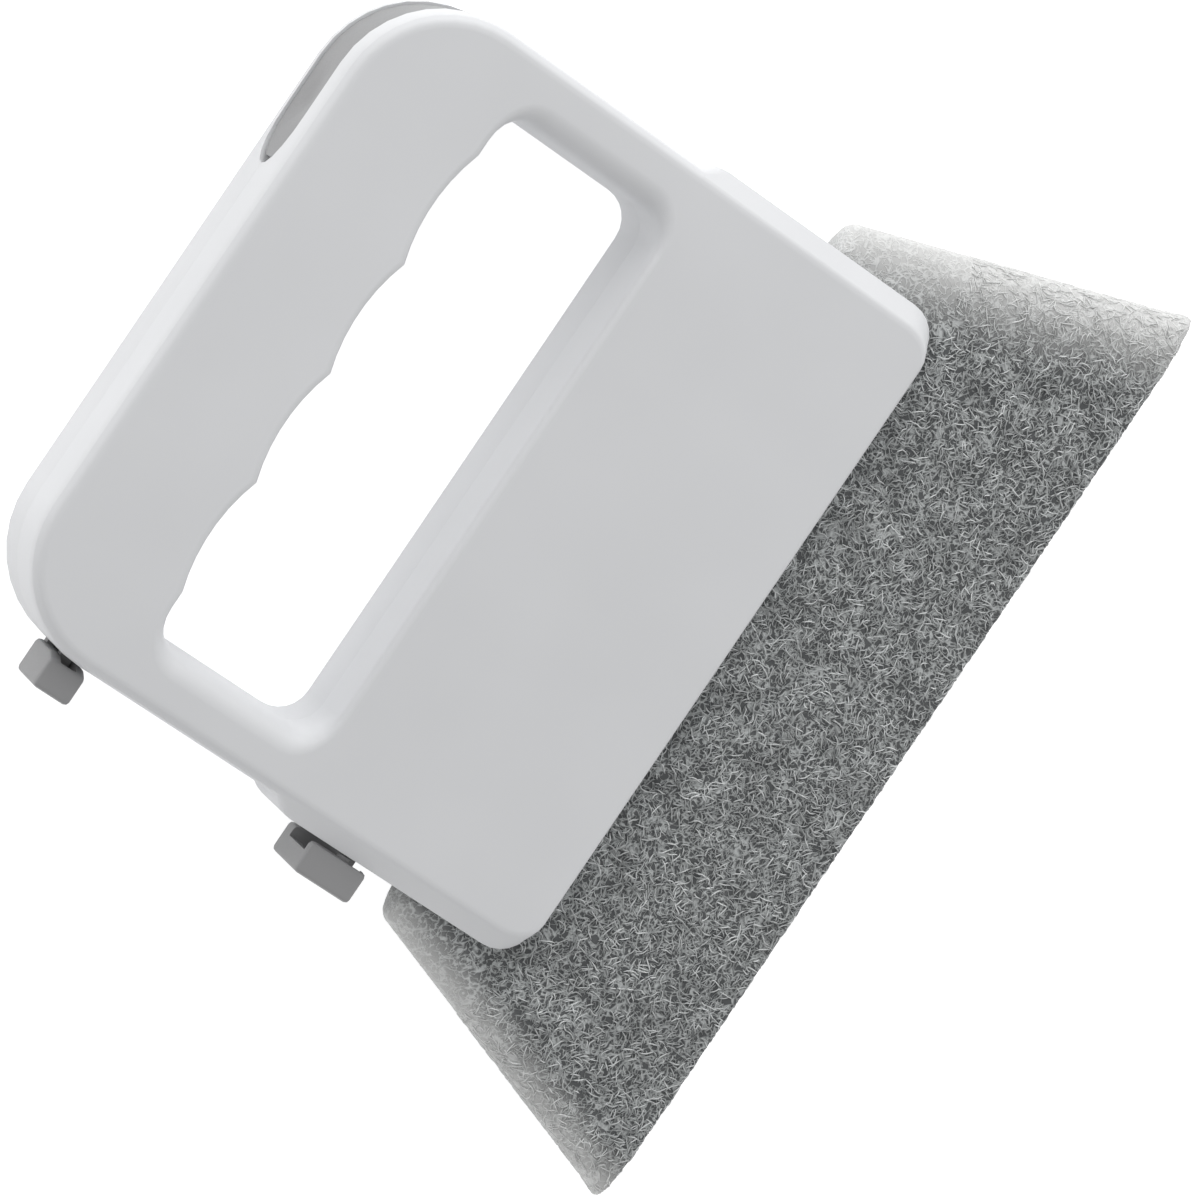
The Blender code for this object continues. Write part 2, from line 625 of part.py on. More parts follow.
def make_inner_frame(finish):
    """A flat ring round the hand hole. It carries the lever, its spring and the hinge blocks."""
    gap = SIDE_WALL + FRAME_EDGE_GAP
    frame = slab("inner_frame", body_outline(gap), FRAME_LOW, FRAME_HIGH, finish)
    through = (FRAME_LOW - PAST, FRAME_HIGH + PAST)
    seat_top = BODY_TOP - SPRING_SEAT_HEIGHT
    wide = LOWER_HALF_WIDTH + PAST
    cuts = [slab("frame_hole", hole_outline(COLLAR_WALL + FRAME_EDGE_GAP), *through),
            box("frame_lower_end", (-wide, wide), (0.0, STOP_HIGH + FRAME_EDGE_GAP), through),
            box("frame_lever_room", (keeper_span()[0] - FRAME_LEVER_ROOM, wide),
                (seat_top, BODY_TOP + PAST), through)]
    carve(frame, *cuts)

    lobe_low = HOLE_TOP + SCALLOP_DEPTH + COLLAR_WALL + FRAME_EDGE_GAP + WELD
    lobe = rod("frame_pivot_lobe", PIVOT_X, PIVOT_Y, POST_RADIUS + FRAME_EDGE_GAP, FRAME_LOW, FRAME_HIGH)
    neck = box("frame_pivot_neck", rib_reach(PIVOT_X, 2 * POST_RADIUS), (lobe_low, PIVOT_Y),
               (FRAME_LOW, FRAME_HIGH))
    spring_x = LENS_LEFT + SPRING_FROM_TIP
    spring_z = spring_level()
    coil = SPRING_RADIUS + SPRING_WIRE / 2
    seat = box("frame_spring_seat", rib_reach(spring_x, 2 * (coil + CLEARANCE)),
               (seat_top - SPRING_SEAT_WALL, seat_top), (FRAME_LOW + STEP_BACK, spring_z + coil))
    spigot = rod_along_y("frame_spigot", spring_x, spring_z, SPIGOT_RADIUS, seat_top - WELD / 2,
                         seat_top + SPIGOT_LENGTH)
    weld(frame, neck, lobe, seat, spigot)
    holes = [rod(f"frame_screw_hole_{i + 1}", x, y, SCREW_RADIUS + CLEARANCE, *through)
             for i, (x, y) in enumerate(frame_screw_places() + hinge_screw_places())]
    holes.append(rod("frame_pivot_hole", PIVOT_X, PIVOT_Y, LEVER_PIVOT_RADIUS + FIT, *through))
    carve(frame, *holes)
    return frame


def screw_rings(x, y, under_head, tip, up=1):
    """A pan-head screw whose head lies against a level, with its tip at another level."""
    head = SCREW_HEAD_HEIGHT * up
    profile = ((SCREW_RADIUS * 0.6, tip), (SCREW_RADIUS, tip + SCREW_POINT * up), (SCREW_RADIUS, under_head),
               (SCREW_HEAD_RADIUS, under_head), (SCREW_HEAD_RADIUS, under_head + 0.5 * head),
               (SCREW_HEAD_RADIUS * 0.8, under_head + head))
    return turned(x, y, profile, 12)


def make_screws(name, places, under_head, tip, up, finish):
    for i, (x, y) in enumerate(places):
        loft(f"{name}_{i + 1}", screw_rings(x, y, under_head, tip, up), finish)


def block_blank(name, outline, middle, length, finish):
    """A bar along Y with rounded edges, from its section as pairs of x and z."""
    rings = [[spot(x, height, z) for x, z in outline] for height in rib_reach(middle, length)]
    blank = loft(name, rings, finish)
    round_edges(blank, BLOCK_EDGE_RADIUS)
    return blank


def leaf_slot(name, place, length):
    """Room in a block for the leaf's gooseneck, which swings out from behind the front wall."""
    room = HINGE_LEAF_RADIUS + CLEARANCE
    depth = HINGE_LEAF_DROP + HINGE_LEAF_THICKNESS + 2 * CLEARANCE
    return box(name, (HINGE_X - room, -UPPER_HALF_WIDTH), rib_reach(place, length + 2 * CLEARANCE),
               (HINGE_Z - depth, HINGE_Z + room))


def make_foot(name, left, index, place, length):
    """The tongue that a block is screwed down by, inside the rear shell."""
    right = hinge_screw_places()[index][0] + SCREW_HEAD_RADIUS + SCREW_HEAD_ROOM
    return box(name, (left, right), rib_reach(place, length), (FOOT_LOW, FOOT_HIGH))


def make_upper_block(finish):
    """A solid block close beside the grip bar.

    Towards the front its inner side leans away from the shell, which leaves room for the swing.
    """
    left = -UPPER_HALF_WIDTH - UPPER_BLOCK_REACH
    near = -UPPER_HALF_WIDTH - CLEARANCE
    back = BLOCK_FRONT - UPPER_BLOCK_DEPTH
    outline = ((left, back), (near, back), (near, HINGE_Z - HINGE_LEAF_RADIUS),
               (-UPPER_HALF_WIDTH - UPPER_BLOCK_GAP, BLOCK_FRONT), (left, BLOCK_FRONT))
    block = block_blank("upper_hinge_block", outline, UPPER_HINGE, UPPER_BLOCK_LENGTH, finish)
    weld(block, make_foot("upper_block_foot", left + WELD, 0, UPPER_HINGE, UPPER_FOOT_LENGTH))
    finish_block(block, "upper", 0, UPPER_HINGE, UPPER_LEAF_LENGTH)
    return block


def make_lower_block(finish):
    """A bracket round a pocket, which is open at both ends: web, back wall and front wall."""
    left = -LOWER_HALF_WIDTH - LOWER_BLOCK_REACH
    right = -LOWER_HALF_WIDTH - LOWER_BLOCK_GAP
    back = BLOCK_FRONT - LOWER_BLOCK_DEPTH
    middle = LOWER_BLOCK_MIDDLE
    outline = ((left, back), (right, back), (right, BLOCK_FRONT), (left, BLOCK_FRONT))
    block = block_blank("lower_hinge_block", outline, middle, LOWER_BLOCK_LENGTH, finish)
    carve(block, box("lower_block_pocket", (left + BLOCK_WEB, right + PAST),
                     rib_reach(middle, LOWER_BLOCK_LENGTH + 2 * PAST),
                     (FOOT_HIGH, BLOCK_FRONT - BLOCK_FRONT_WALL)))
    wall = box("lower_block_back_wall", (left + WELD, -LOWER_HALF_WIDTH - CLEARANCE),
               rib_reach(middle, LOWER_BLOCK_LENGTH - 2 * BLOCK_EDGE_RADIUS),
               (back + BLOCK_EDGE_RADIUS, FOOT_HIGH - CLEARANCE))
    knuckle = box("lower_block_knuckle", (left + WELD, HINGE_X + HINGE_LEAF_RADIUS), lower_knuckle_reach(),
                  (HINGE_Z - HINGE_LEAF_RADIUS, BLOCK_FRONT - BLOCK_EDGE_RADIUS))
    nub_low = LOWER_HINGE + LOWER_LEAF_LENGTH / 2 + CLEARANCE
    nub = box("lower_block_nub", (HINGE_X, -LOWER_HALF_WIDTH - CLEARANCE), (nub_low, nub_low + NUB_LENGTH),
              (HINGE_Z - HINGE_LEAF_RADIUS / 2, BLOCK_FRONT - NUB_SUNK))
    foot = make_foot("lower_block_foot", left + WELD, 1, middle, LOWER_FOOT_LENGTH)
    weld(block, wall, foot, knuckle, nub)
    finish_block(block, "lower", 1, LOWER_HINGE, LOWER_LEAF_LENGTH)
    return block


def lower_knuckle_reach():
    low = LOWER_BLOCK_MIDDLE - LOWER_BLOCK_LENGTH / 2 + BLOCK_EDGE_RADIUS / 2
    return low, LOWER_HINGE + LOWER_LEAF_LENGTH / 2 + CLEARANCE + LOWER_KNUCKLE_LENGTH


def pin_reach(which):
    """Ends of a pin: open at its lower knuckle and blind in its upper one."""
    low, high = lower_knuckle_reach()
    if which == "upper":
        low, high = UPPER_HINGE - UPPER_BLOCK_LENGTH / 2, UPPER_HINGE + UPPER_BLOCK_LENGTH / 2
    return low + CLEARANCE, high - HINGE_PIN_BLIND - CLEARANCE


def finish_block(block, which, index, place, length):
    low, high = pin_reach(which)
    x, y = hinge_screw_places()[index]
    carve(block, leaf_slot(which + "_leaf_slot", place, length),
          rod_along_y(which + "_pin_bore", HINGE_X, HINGE_Z, HINGE_PIN_RADIUS + FIT,
                      low - PAST, high + CLEARANCE),
          rod(which + "_foot_hole", x, y, SCREW_RADIUS + CLEARANCE, FOOT_LOW - PAST, FOOT_HIGH + PAST))


def make_leaf(name, place, length, screw, finish):
    """A hinge leaf of the front shell: an eye on the pin, a gooseneck and a foot inside the wall."""
    low, high = leaf_levels()
    ends = rib_reach(place, length)
    eye = rod_along_y(name, HINGE_X, HINGE_Z, HINGE_LEAF_RADIUS, *ends, finish, spot(HINGE_X, place, HINGE_Z))
    foot_right = screw[0] + SCREW_HEAD_RADIUS + SCREW_HEAD_ROOM
    neck_half = HINGE_LEAF_RADIUS - STEP_BACK / 4
    neck = box(name + "_neck", rib_reach(HINGE_X, 2 * neck_half), ends, (low + STEP_BACK, HINGE_Z))
    arm = box(name + "_arm", (HINGE_X - neck_half + STEP_BACK, foot_right - STEP_BACK), ends, (low, high))
    foot_left = -UPPER_HALF_WIDTH + SIDE_WALL + FRAME_EDGE_GAP
    foot = box(name + "_foot", (foot_left, foot_right), rib_reach(place, HINGE_FOOT_LENGTH),
               (low + STEP_BACK, high - STEP_BACK))
    weld(eye, neck, arm, foot)
    carve(eye, rod_along_y(name + "_bore", HINGE_X, HINGE_Z, HINGE_PIN_RADIUS + FIT,
                           ends[0] - PAST, ends[1] + PAST),
          rod(name + "_hole", *screw, SCREW_RADIUS + CLEARANCE, low - PAST, high + PAST))
    return eye


def spring_level():
    return LEVER_LOW + SPRING_RADIUS + SPRING_WIRE / 2 - SPRING_SUNK


def thumb_dip(along, across):
    """Depth of the thumb dip, at a place along the lever and across it from -1 to 1."""
    distance = abs(along - THUMB_DIP_FROM_TIP) / (THUMB_DIP_LENGTH / 2)
    if distance >= 1:
        return 0.0
    return THUMB_DIP_DEPTH * math.cos(distance * math.pi / 2) ** 2 * math.cos(across * math.pi / 2) ** 2


def make_lever(finish):
    """The grey insert: a curved plate that fills the lens, with a pivot boss and a hook behind."""
    pivot = spot(PIVOT_X, PIVOT_Y, PARTING)
    rings = []
    columns = 6
    start, end = LEVER_TIP_GAP - LEVER_SIDE_GAP, LENS_LENGTH - LEVER_SIDE_GAP
    for along in lens_stations(LEVER_TIP_GAP, LENS_LENGTH - 2 * LEVER_SIDE_GAP, 18):
        share = lens_share(LENS_LENGTH * (along - start) / (end - start))
        low = PARTING - max(LENS_REAR * share - LEVER_SIDE_GAP, 0.0003)
        high = PARTING + max(LENS_FRONT * share - LEVER_SIDE_GAP, 0.0003)
        ring = []
        for i in range(columns + 1):
            across = 2 * i / columns - 1
            inset = LEVER_SUNK + thumb_dip(along, across)
            ring.append(spot(*path_point(along, inset), low + (high - low) * i / columns))
        under = LEVER_SUNK + LEVER_PLATE
        ring += [spot(*path_point(along, under), level) for level in (high, low)]
        rings.append(ring)
    lever = loft("release_lever", rings, finish, pivot)

    high = LEVER_LOW + LEVER_DEPTH
    boss = rod("lever_boss", PIVOT_X, PIVOT_Y, LEVER_BOSS_RADIUS, LEVER_LOW, high)
    root_x, root_y = path_point(PIVOT_ALONG, LEVER_SUNK + LEVER_PLATE / 2)
    side_x, side_y = LEVER_WEB / 2 * math.cos(PIVOT_TURN), -LEVER_WEB / 2 * math.sin(PIVOT_TURN)
    web_outline = [(PIVOT_X - side_x, PIVOT_Y - side_y), (PIVOT_X + side_x, PIVOT_Y + side_y),
                   (root_x + side_x, root_y + side_y), (root_x - side_x, root_y - side_y)]
    web = slab("lever_web", web_outline, LEVER_LOW + 2 * STEP_BACK, high - 4 * STEP_BACK)
    plate_low = BODY_TOP - LEVER_SUNK - LEVER_PLATE
    bar_low, bar_high = hook_heights()
    arm_left = keeper_span()[1] + HOOK_SIDE_GAP
    arm = box("hook_arm", (arm_left, arm_left + HOOK_WIDTH), (bar_low, plate_low + WELD),
              (LEVER_LOW + STEP_BACK, LEVER_LOW + STEP_BACK + HOOK_DEPTH))
    bar = box("hook_bar", (keeper_span()[0] + STEP_BACK, arm_left + HOOK_WIDTH - STEP_BACK),
              (bar_low + STEP_BACK, bar_high),
              (LEVER_LOW + 3 * STEP_BACK, LEVER_LOW + HOOK_DEPTH - STEP_BACK))
    spring_x = LENS_LEFT + SPRING_FROM_TIP
    spigot = rod_along_y("lever_spigot", spring_x, spring_level(), SPIGOT_RADIUS,
                         plate_low - SPIGOT_LENGTH, plate_low + WELD / 2)
    weld(lever, web, boss, arm, bar, spigot)
    carve(lever, rod("lever_bore", PIVOT_X, PIVOT_Y, LEVER_PIVOT_RADIUS + CLEARANCE,
                     LEVER_LOW - PAST, high + PAST))
    return lever


def make_spring(finish):
    """A compression spring between the frame's seat and the lever. Prints its least gap to itself."""
    spring_x = LENS_LEFT + SPRING_FROM_TIP
    spring_z = spring_level()
    reach = SPRING_WIRE / 2 + CLEARANCE
    low = BODY_TOP - SPRING_SEAT_HEIGHT + reach
    high = BODY_TOP - LEVER_SUNK - LEVER_PLATE - reach
    count = SPRING_TURNS * SPRING_POINTS_PER_TURN
    points = []
    for i in range(count + 1):
        turn = 2 * math.pi * i / SPRING_POINTS_PER_TURN
        points.append(spot(spring_x + SPRING_RADIUS * math.cos(turn), low + (high - low) * i / count,
                           spring_z + SPRING_RADIUS * math.sin(turn)))
    least = min((a - b).length for i, a in enumerate(points)
                for b in points[i + SPRING_POINTS_PER_TURN // 2:])
    print(f"lever_spring: least gap to itself {(least - SPRING_WIRE) * 1000:.2f} mm")
    curve = bpy.data.curves.new("lever_spring", "CURVE")
    curve.dimensions = "3D"
    curve.bevel_depth = SPRING_WIRE / 2
    curve.bevel_resolution = 1
    curve.use_fill_caps = True
    spline = curve.splines.new("POLY")
    spline.points.add(len(points) - 1)
    for target, point in zip(spline.points, points):
        target.co = (*point, 1.0)
    curve.materials.append(finish)
    spring = bpy.data.objects.new("lever_spring", curve)
    bpy.context.scene.collection.objects.link(spring)
    return spring


def make_lever_pin(finish):
    """A headed pin through the lever and the frame, into its post in the rear shell."""
    top = LEVER_LOW + LEVER_DEPTH + CLEARANCE
    low = FRAME_LOW - SCREW_BITE - CLEARANCE
    head = LEVER_BOSS_RADIUS - CLEARANCE
    rim = PIN_HEAD_HEIGHT / 3
    profile = ((LEVER_PIVOT_RADIUS - rim, low), (LEVER_PIVOT_RADIUS, low + rim), (LEVER_PIVOT_RADIUS, top),
               (head, top), (head, top + 2 * rim), (head - rim, top + PIN_HEAD_HEIGHT))
    return loft("lever_pin", turned(PIVOT_X, PIVOT_Y, profile), finish)


def pad_half_width(height):
    share = height / PAD_TOP
    half = PAD_BOTTOM_HALF_WIDTH + (PAD_TOP_HALF_WIDTH - PAD_BOTTOM_HALF_WIDTH) * share
    end = min(height, PAD_TOP - height)
    return half - max(0.0, PAD_CUT_CORNER - end)


def pad_thickness(height):
    """Thin between the shells, and swollen again below them."""
    share = min(max((PAD_REACH - CLEARANCE - height) / PAD_SWELL_LENGTH, 0.0), 1.0)
    return PAD_THICKNESS + (PAD_FREE_THICKNESS - PAD_THICKNESS) * (1 - math.cos(math.pi * share)) / 2


def make_pad(finish):
    """A trapezoid of non-woven fibre with rounded slanting sides and cut ends."""
    swell_start = PAD_REACH - CLEARANCE
    corner = PAD_CUT_CORNER / 2
    heights = [0.0, corner, 2 * corner, PAD_REACH * 0.45]
    heights += [swell_start - PAD_SWELL_LENGTH * i / 4 for i in (4, 3, 2, 1, 0)]
    heights += [(swell_start + PAD_TOP) / 2, PAD_TOP - 2 * corner, PAD_TOP - corner, PAD_TOP]
    rings = []
    for height in heights:
        cut = corner if height in (0.0, PAD_TOP) else 0.0
        half = pad_half_width(height)
        thick = pad_thickness(height) / 2 - cut
        right = []
        for i in range(9):
            turn = math.pi * i / 8 - math.pi / 2
            right.append((half - PAD_SIDE_ROUND * (1 - math.cos(turn)), thick * math.sin(turn)))
        left = [(-x, z) for x, z in reversed(right)]
        rings.append([spot(x, height, PARTING + z) for x, z in right + left])
    return loft("scouring_pad", rings, finish)


def build():
    remove_old_objects()
    white = material("white_abs", (0.76, 0.76, 0.78), 0.42)
    back_white = material("white_abs_back", (0.74, 0.74, 0.76), 0.45)
    grey = material("grey_abs", (0.24, 0.24, 0.25), 0.5)
    lens_grey = material("lens_grey_abs", (0.40, 0.40, 0.41), 0.45)
    steel = material("zinc_plated_steel", (0.60, 0.61, 0.62), 0.3, 1.0)
    fibre = material("grey_fibre", (0.20, 0.21, 0.21), 0.95)

    make_rear_shell(back_white)
    make_inner_frame(grey)
    make_screws("frame_screw", frame_screw_places(), FRAME_HIGH + CLEARANCE, FRAME_LOW - SCREW_BITE, 1, steel)
    make_screws("hinge_block_screw", hinge_screw_places(), FRAME_HIGH + CLEARANCE, FOOT_LOW - SCREW_BITE,
                1, steel)
    make_upper_block(grey)
    make_lower_block(grey)
    for which in ("upper", "lower"):
        rod_along_y(which + "_hinge_pin", HINGE_X, HINGE_Z, HINGE_PIN_RADIUS, *pin_reach(which), steel)
    make_pad(fibre)

    make_front_shell(white)
    make_leaf("upper_hinge_leaf", UPPER_HINGE, UPPER_LEAF_LENGTH, leaf_screw_places()[0], grey)
    make_leaf("lower_hinge_leaf", LOWER_HINGE, LOWER_LEAF_LENGTH, leaf_screw_places()[1], grey)
    low, high = leaf_levels()
    make_screws("hinge_leaf_screw", leaf_screw_places(), low - CLEARANCE, high + SCREW_BITE - CLEARANCE,
                -1, steel)

    make_lever(lens_grey)
    make_lever_pin(steel)
    make_spring(steel)


build()
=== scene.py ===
# %% [markdown]
# # A hand brush for window tracks
# The brush lies on its back. Two white shells close like a book round a grey scouring pad, grey
# hinge blocks sit on one side, and a grey release lever fills a notch in the top corner. X runs
# along the pad's working edge, Y towards the grip, Z up out of the front face. Lengths are metres.

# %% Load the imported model
import json
import math

import bpy
import numpy as np
from mathutils import Matrix, Vector
from mathutils.bvhtree import BVHTree

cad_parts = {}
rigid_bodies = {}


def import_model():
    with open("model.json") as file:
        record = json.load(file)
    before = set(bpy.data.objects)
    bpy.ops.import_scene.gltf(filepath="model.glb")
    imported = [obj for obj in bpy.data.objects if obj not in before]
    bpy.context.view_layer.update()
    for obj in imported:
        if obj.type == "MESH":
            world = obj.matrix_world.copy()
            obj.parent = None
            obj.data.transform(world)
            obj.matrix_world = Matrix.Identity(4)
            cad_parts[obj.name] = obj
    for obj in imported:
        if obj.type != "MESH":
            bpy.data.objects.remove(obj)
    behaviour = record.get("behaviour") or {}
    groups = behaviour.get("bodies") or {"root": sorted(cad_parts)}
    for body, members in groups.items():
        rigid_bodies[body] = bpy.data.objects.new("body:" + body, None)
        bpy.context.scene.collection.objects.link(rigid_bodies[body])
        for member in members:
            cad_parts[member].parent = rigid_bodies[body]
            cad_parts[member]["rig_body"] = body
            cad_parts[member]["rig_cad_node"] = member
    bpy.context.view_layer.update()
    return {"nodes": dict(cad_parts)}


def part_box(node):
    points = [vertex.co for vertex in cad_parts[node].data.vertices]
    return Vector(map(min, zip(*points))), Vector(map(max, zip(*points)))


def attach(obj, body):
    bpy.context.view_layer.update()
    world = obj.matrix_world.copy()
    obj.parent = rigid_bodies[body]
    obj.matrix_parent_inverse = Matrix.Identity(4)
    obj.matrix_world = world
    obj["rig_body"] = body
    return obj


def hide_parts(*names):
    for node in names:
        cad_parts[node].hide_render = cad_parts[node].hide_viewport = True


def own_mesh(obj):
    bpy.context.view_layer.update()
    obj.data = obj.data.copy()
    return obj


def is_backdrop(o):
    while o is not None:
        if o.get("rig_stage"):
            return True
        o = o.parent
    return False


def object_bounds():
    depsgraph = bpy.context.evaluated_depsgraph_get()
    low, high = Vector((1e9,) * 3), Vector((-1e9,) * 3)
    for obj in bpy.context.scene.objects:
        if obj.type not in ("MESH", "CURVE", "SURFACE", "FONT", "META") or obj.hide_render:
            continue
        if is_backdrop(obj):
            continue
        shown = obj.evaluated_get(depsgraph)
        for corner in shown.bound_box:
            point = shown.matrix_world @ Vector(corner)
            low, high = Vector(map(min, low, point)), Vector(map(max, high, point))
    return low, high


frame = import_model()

MM = 0.001
nodes = frame["nodes"]

# %% [markdown]
# The photograph looks almost straight down, leaning 20 degrees towards the grip, and is turned so
# that the working edge climbs to the right. A camera could be aimed with constraints or by its
# angles. Here its axes are built from the lean and the turn, which keeps both readable. The lens is
# long, as in most product pictures, so the sides of the brush stay nearly parallel.

# %% Camera
LOOK_AT = Vector((-4.9, -13.53, 10.5)) * MM
LEAN = math.radians(20)
TURN = math.radians(-55.86)
DISTANCE = 895.34 * MM
FOCAL_LENGTH_MM = 185.16
SENSOR_WIDTH_MM = 36

back = Vector((0, math.sin(LEAN), math.cos(LEAN)))
along = Vector((0, math.cos(LEAN), -math.sin(LEAN)))
right = math.cos(TURN) * Vector((1, 0, 0)) + math.sin(TURN) * along
lens = bpy.data.cameras.new("photo_camera")
camera = bpy.data.objects.new("photo_camera", lens)
bpy.context.scene.collection.objects.link(camera)
camera.matrix_world = Matrix((right, back.cross(right), back)).transposed().to_4x4()
camera.location = LOOK_AT + back * DISTANCE
lens.sensor_width = SENSOR_WIDTH_MM
lens.lens = FOCAL_LENGTH_MM
lens.clip_start = 0.05
lens.clip_end = 20
bpy.context.scene.camera = camera
bpy.context.scene.view_settings.view_transform = "Standard"
print("camera at", [round(v / MM) for v in camera.location], "mm")

# %% [markdown]
# Every finish below is a small graph of nodes. It could be clicked together in the shader editor.
# In code, one helper adds a node, fills in its settings and joins its inputs, so each graph reads
# from top to bottom. Colours are written as on a colour card, in sRGB hex, and one function turns
# them into the linear values that the renderer works with. Noise patterns run from 0 to 1 but
# seldom leave the middle, so the finishes stretch the range in which nearly all of a pattern lies.

# %% Helpers for materials
NOISE_LOW = 0.3
NOISE_HIGH = 0.7


def linear(code):
    """An sRGB hex colour as linear red, green, blue and alpha."""
    channels = [int(code[i:i + 2], 16) / 255 for i in (1, 3, 5)]
    light = [c / 12.92 if c <= 0.04045 else ((c + 0.055) / 1.055) ** 2.4 for c in channels]
    return (*light, 1.0)


def add_node(tree, kind, values=None, links=None, **settings):
    """Adds a node, sets its options and unlinked inputs, and joins the others to their sources."""
    node = tree.nodes.new(kind)
    for name, value in settings.items():
        setattr(node, name, value)
    for socket, value in (values or {}).items():
        node.inputs[socket].default_value = value
    for socket, source in (links or {}).items():
        tree.links.new(source, node.inputs[socket])
    return node


def new_material(name):
    """An empty material with its output node, ready for a graph."""
    made = bpy.data.materials.new(name)
    made.use_nodes = True
    made.node_tree.nodes.clear()
    return made, made.node_tree, add_node(made.node_tree, "ShaderNodeOutputMaterial")


# %% [markdown]
# The studio is a sheet of white paper in a light tent. The paper could be lit until it burns out,
# but that would wash out the brush too. Instead the paper glows a little by itself, and more for
# the camera, so it reads as clean white and still keeps the shadow where the brush rests. The Light
# Path node tells the rays apart. Those that meet the paper in a reflection count as the camera's.

# %% Paper floor
PAPER_SIZE = 4
GLOW = 0.47
GLOW_FOR_CAMERA = 0.62


def seen_directly(tree):
    """1 for what is seen, also in a reflection or through glass, 0 for what lights the brush."""
    ray = add_node(tree, "ShaderNodeLightPath")
    seen = ray.outputs["Is Camera Ray"]
    for also in ("Is Glossy Ray", "Is Transmission Ray"):
        seen = add_node(tree, "ShaderNodeMath", None, {0: seen, 1: ray.outputs[also]},
                        operation="MAXIMUM").outputs[0]
    return seen


bpy.ops.mesh.primitive_plane_add(size=PAPER_SIZE, location=(0, 0, 0))
floor = bpy.context.object
floor.name = "paper_floor"
paper, tree, output = new_material("white_paper")
matt = add_node(tree, "ShaderNodeBsdfDiffuse", {"Color": linear("#F4F4F4")})
level = add_node(tree, "ShaderNodeMapRange", {"To Min": GLOW, "To Max": GLOW_FOR_CAMERA},
                 {"Value": seen_directly(tree)})
glow = add_node(tree, "ShaderNodeEmission", {"Color": linear("#FFFFFF")},
                {"Strength": level.outputs["Result"]})
both = add_node(tree, "ShaderNodeAddShader", None, {0: matt.outputs[0], 1: glow.outputs[0]})
tree.links.new(both.outputs[0], output.inputs["Surface"])
floor.data.materials.append(paper)
floor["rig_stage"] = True

# %% [markdown]
# The tent's walls are brighter than its roof, so the sides of the brush are lighter than its face.
# A world colour alone would light all sides alike. Four large soft lamps stand for the walls: one
# beyond the grip, one on the side of the lever, and weak ones beyond the hinge and the pad, which
# catch on the rims there. Each row gives a lamp's place, its width in metres and its watts.

# %% Sky and lamps
SKY = 0.48
LAMPS = (("grip_softbox", (0.34, 0.78, 0.50), 1.0, 3.3),
         ("lever_softbox", (0.95, 0.12, 0.42), 0.9, 5.6),
         ("hinge_softbox", (-1.00, 0.05, 0.24), 0.7, 0.4),
         ("pad_softbox", (-0.20, -0.90, 0.30), 0.7, 1.6))

sky = bpy.data.worlds.new("white_studio")
bpy.context.scene.world = sky
sky.use_nodes = True
tree = sky.node_tree
tree.nodes.clear()
level = add_node(tree, "ShaderNodeMapRange", {"To Min": SKY, "To Max": 1.0},
                 {"Value": seen_directly(tree)})
white = add_node(tree, "ShaderNodeBackground", {"Color": linear("#FFFFFF")},
                 {"Strength": level.outputs["Result"]})
add_node(tree, "ShaderNodeOutputWorld", None, {"Surface": white.outputs[0]})

for name, place, width, watts in LAMPS:
    lamp = bpy.data.lights.new(name, "AREA")
    lamp.shape = "SQUARE"
    lamp.size = width
    lamp.energy = watts
    stand = bpy.data.objects.new(name, lamp)
    bpy.context.scene.collection.objects.link(stand)
    stand.location = place
    stand.rotation_mode = "QUATERNION"
    stand.rotation_quaternion = (-Vector(place)).to_track_quat("-Z", "Y")
    print(name, watts, "W")

# %% [markdown]
# ABS is the usual plastic for such a handle: moulded in one shot, with a satin skin taken from the
# mould. Up close that skin is a very fine grain, drawn 0.25 to 0.35 mm wide here so that it shows.
# Its colour drifts a little where the melt flowed, and its gloss is uneven. A flat colour would look
# like a drawing, so two noise patterns do this work: a wide one for the drift, and a fine one for
# grain and gloss. The white shells and all grey plastic pieces share the recipe.

# %% Moulded ABS
PLASTIC_IOR = 1.53
FLOW_WIDTH = 28 * MM
SATIN_DRIFT = 0.05
GRAIN_STRENGTH = 0.35


def moulded_abs(name, pale, deep, roughness, grain_mm, grain_depth_mm):
    made, tree, output = new_material(name)
    place = add_node(tree, "ShaderNodeTexCoord").outputs["Object"]
    flow = add_node(tree, "ShaderNodeTexNoise", {"Scale": 1 / FLOW_WIDTH, "Detail": 2.0},
                    {"Vector": place})
    ramp = add_node(tree, "ShaderNodeValToRGB", None, {"Fac": flow.outputs["Fac"]})
    first, last = ramp.color_ramp.elements
    first.position = NOISE_LOW
    first.color = linear(deep)
    last.position = NOISE_HIGH
    last.color = linear(pale)
    grain = add_node(tree, "ShaderNodeTexNoise", {"Scale": 1 / (grain_mm * MM), "Detail": 3.0},
                     {"Vector": place})
    satin = add_node(tree, "ShaderNodeMapRange",
                     {"From Min": NOISE_LOW, "From Max": NOISE_HIGH,
                      "To Min": roughness - SATIN_DRIFT, "To Max": roughness + SATIN_DRIFT},
                     {"Value": grain.outputs["Fac"]})
    bump = add_node(tree, "ShaderNodeBump",
                    {"Strength": GRAIN_STRENGTH, "Distance": grain_depth_mm * MM},
                    {"Height": grain.outputs["Fac"]})
    shader = add_node(tree, "ShaderNodeBsdfPrincipled", {"IOR": PLASTIC_IOR},
                      {"Base Color": ramp.outputs["Color"], "Roughness": satin.outputs["Result"],
                       "Normal": bump.outputs["Normal"]})
    tree.links.new(shader.outputs[0], output.inputs["Surface"])
    return made


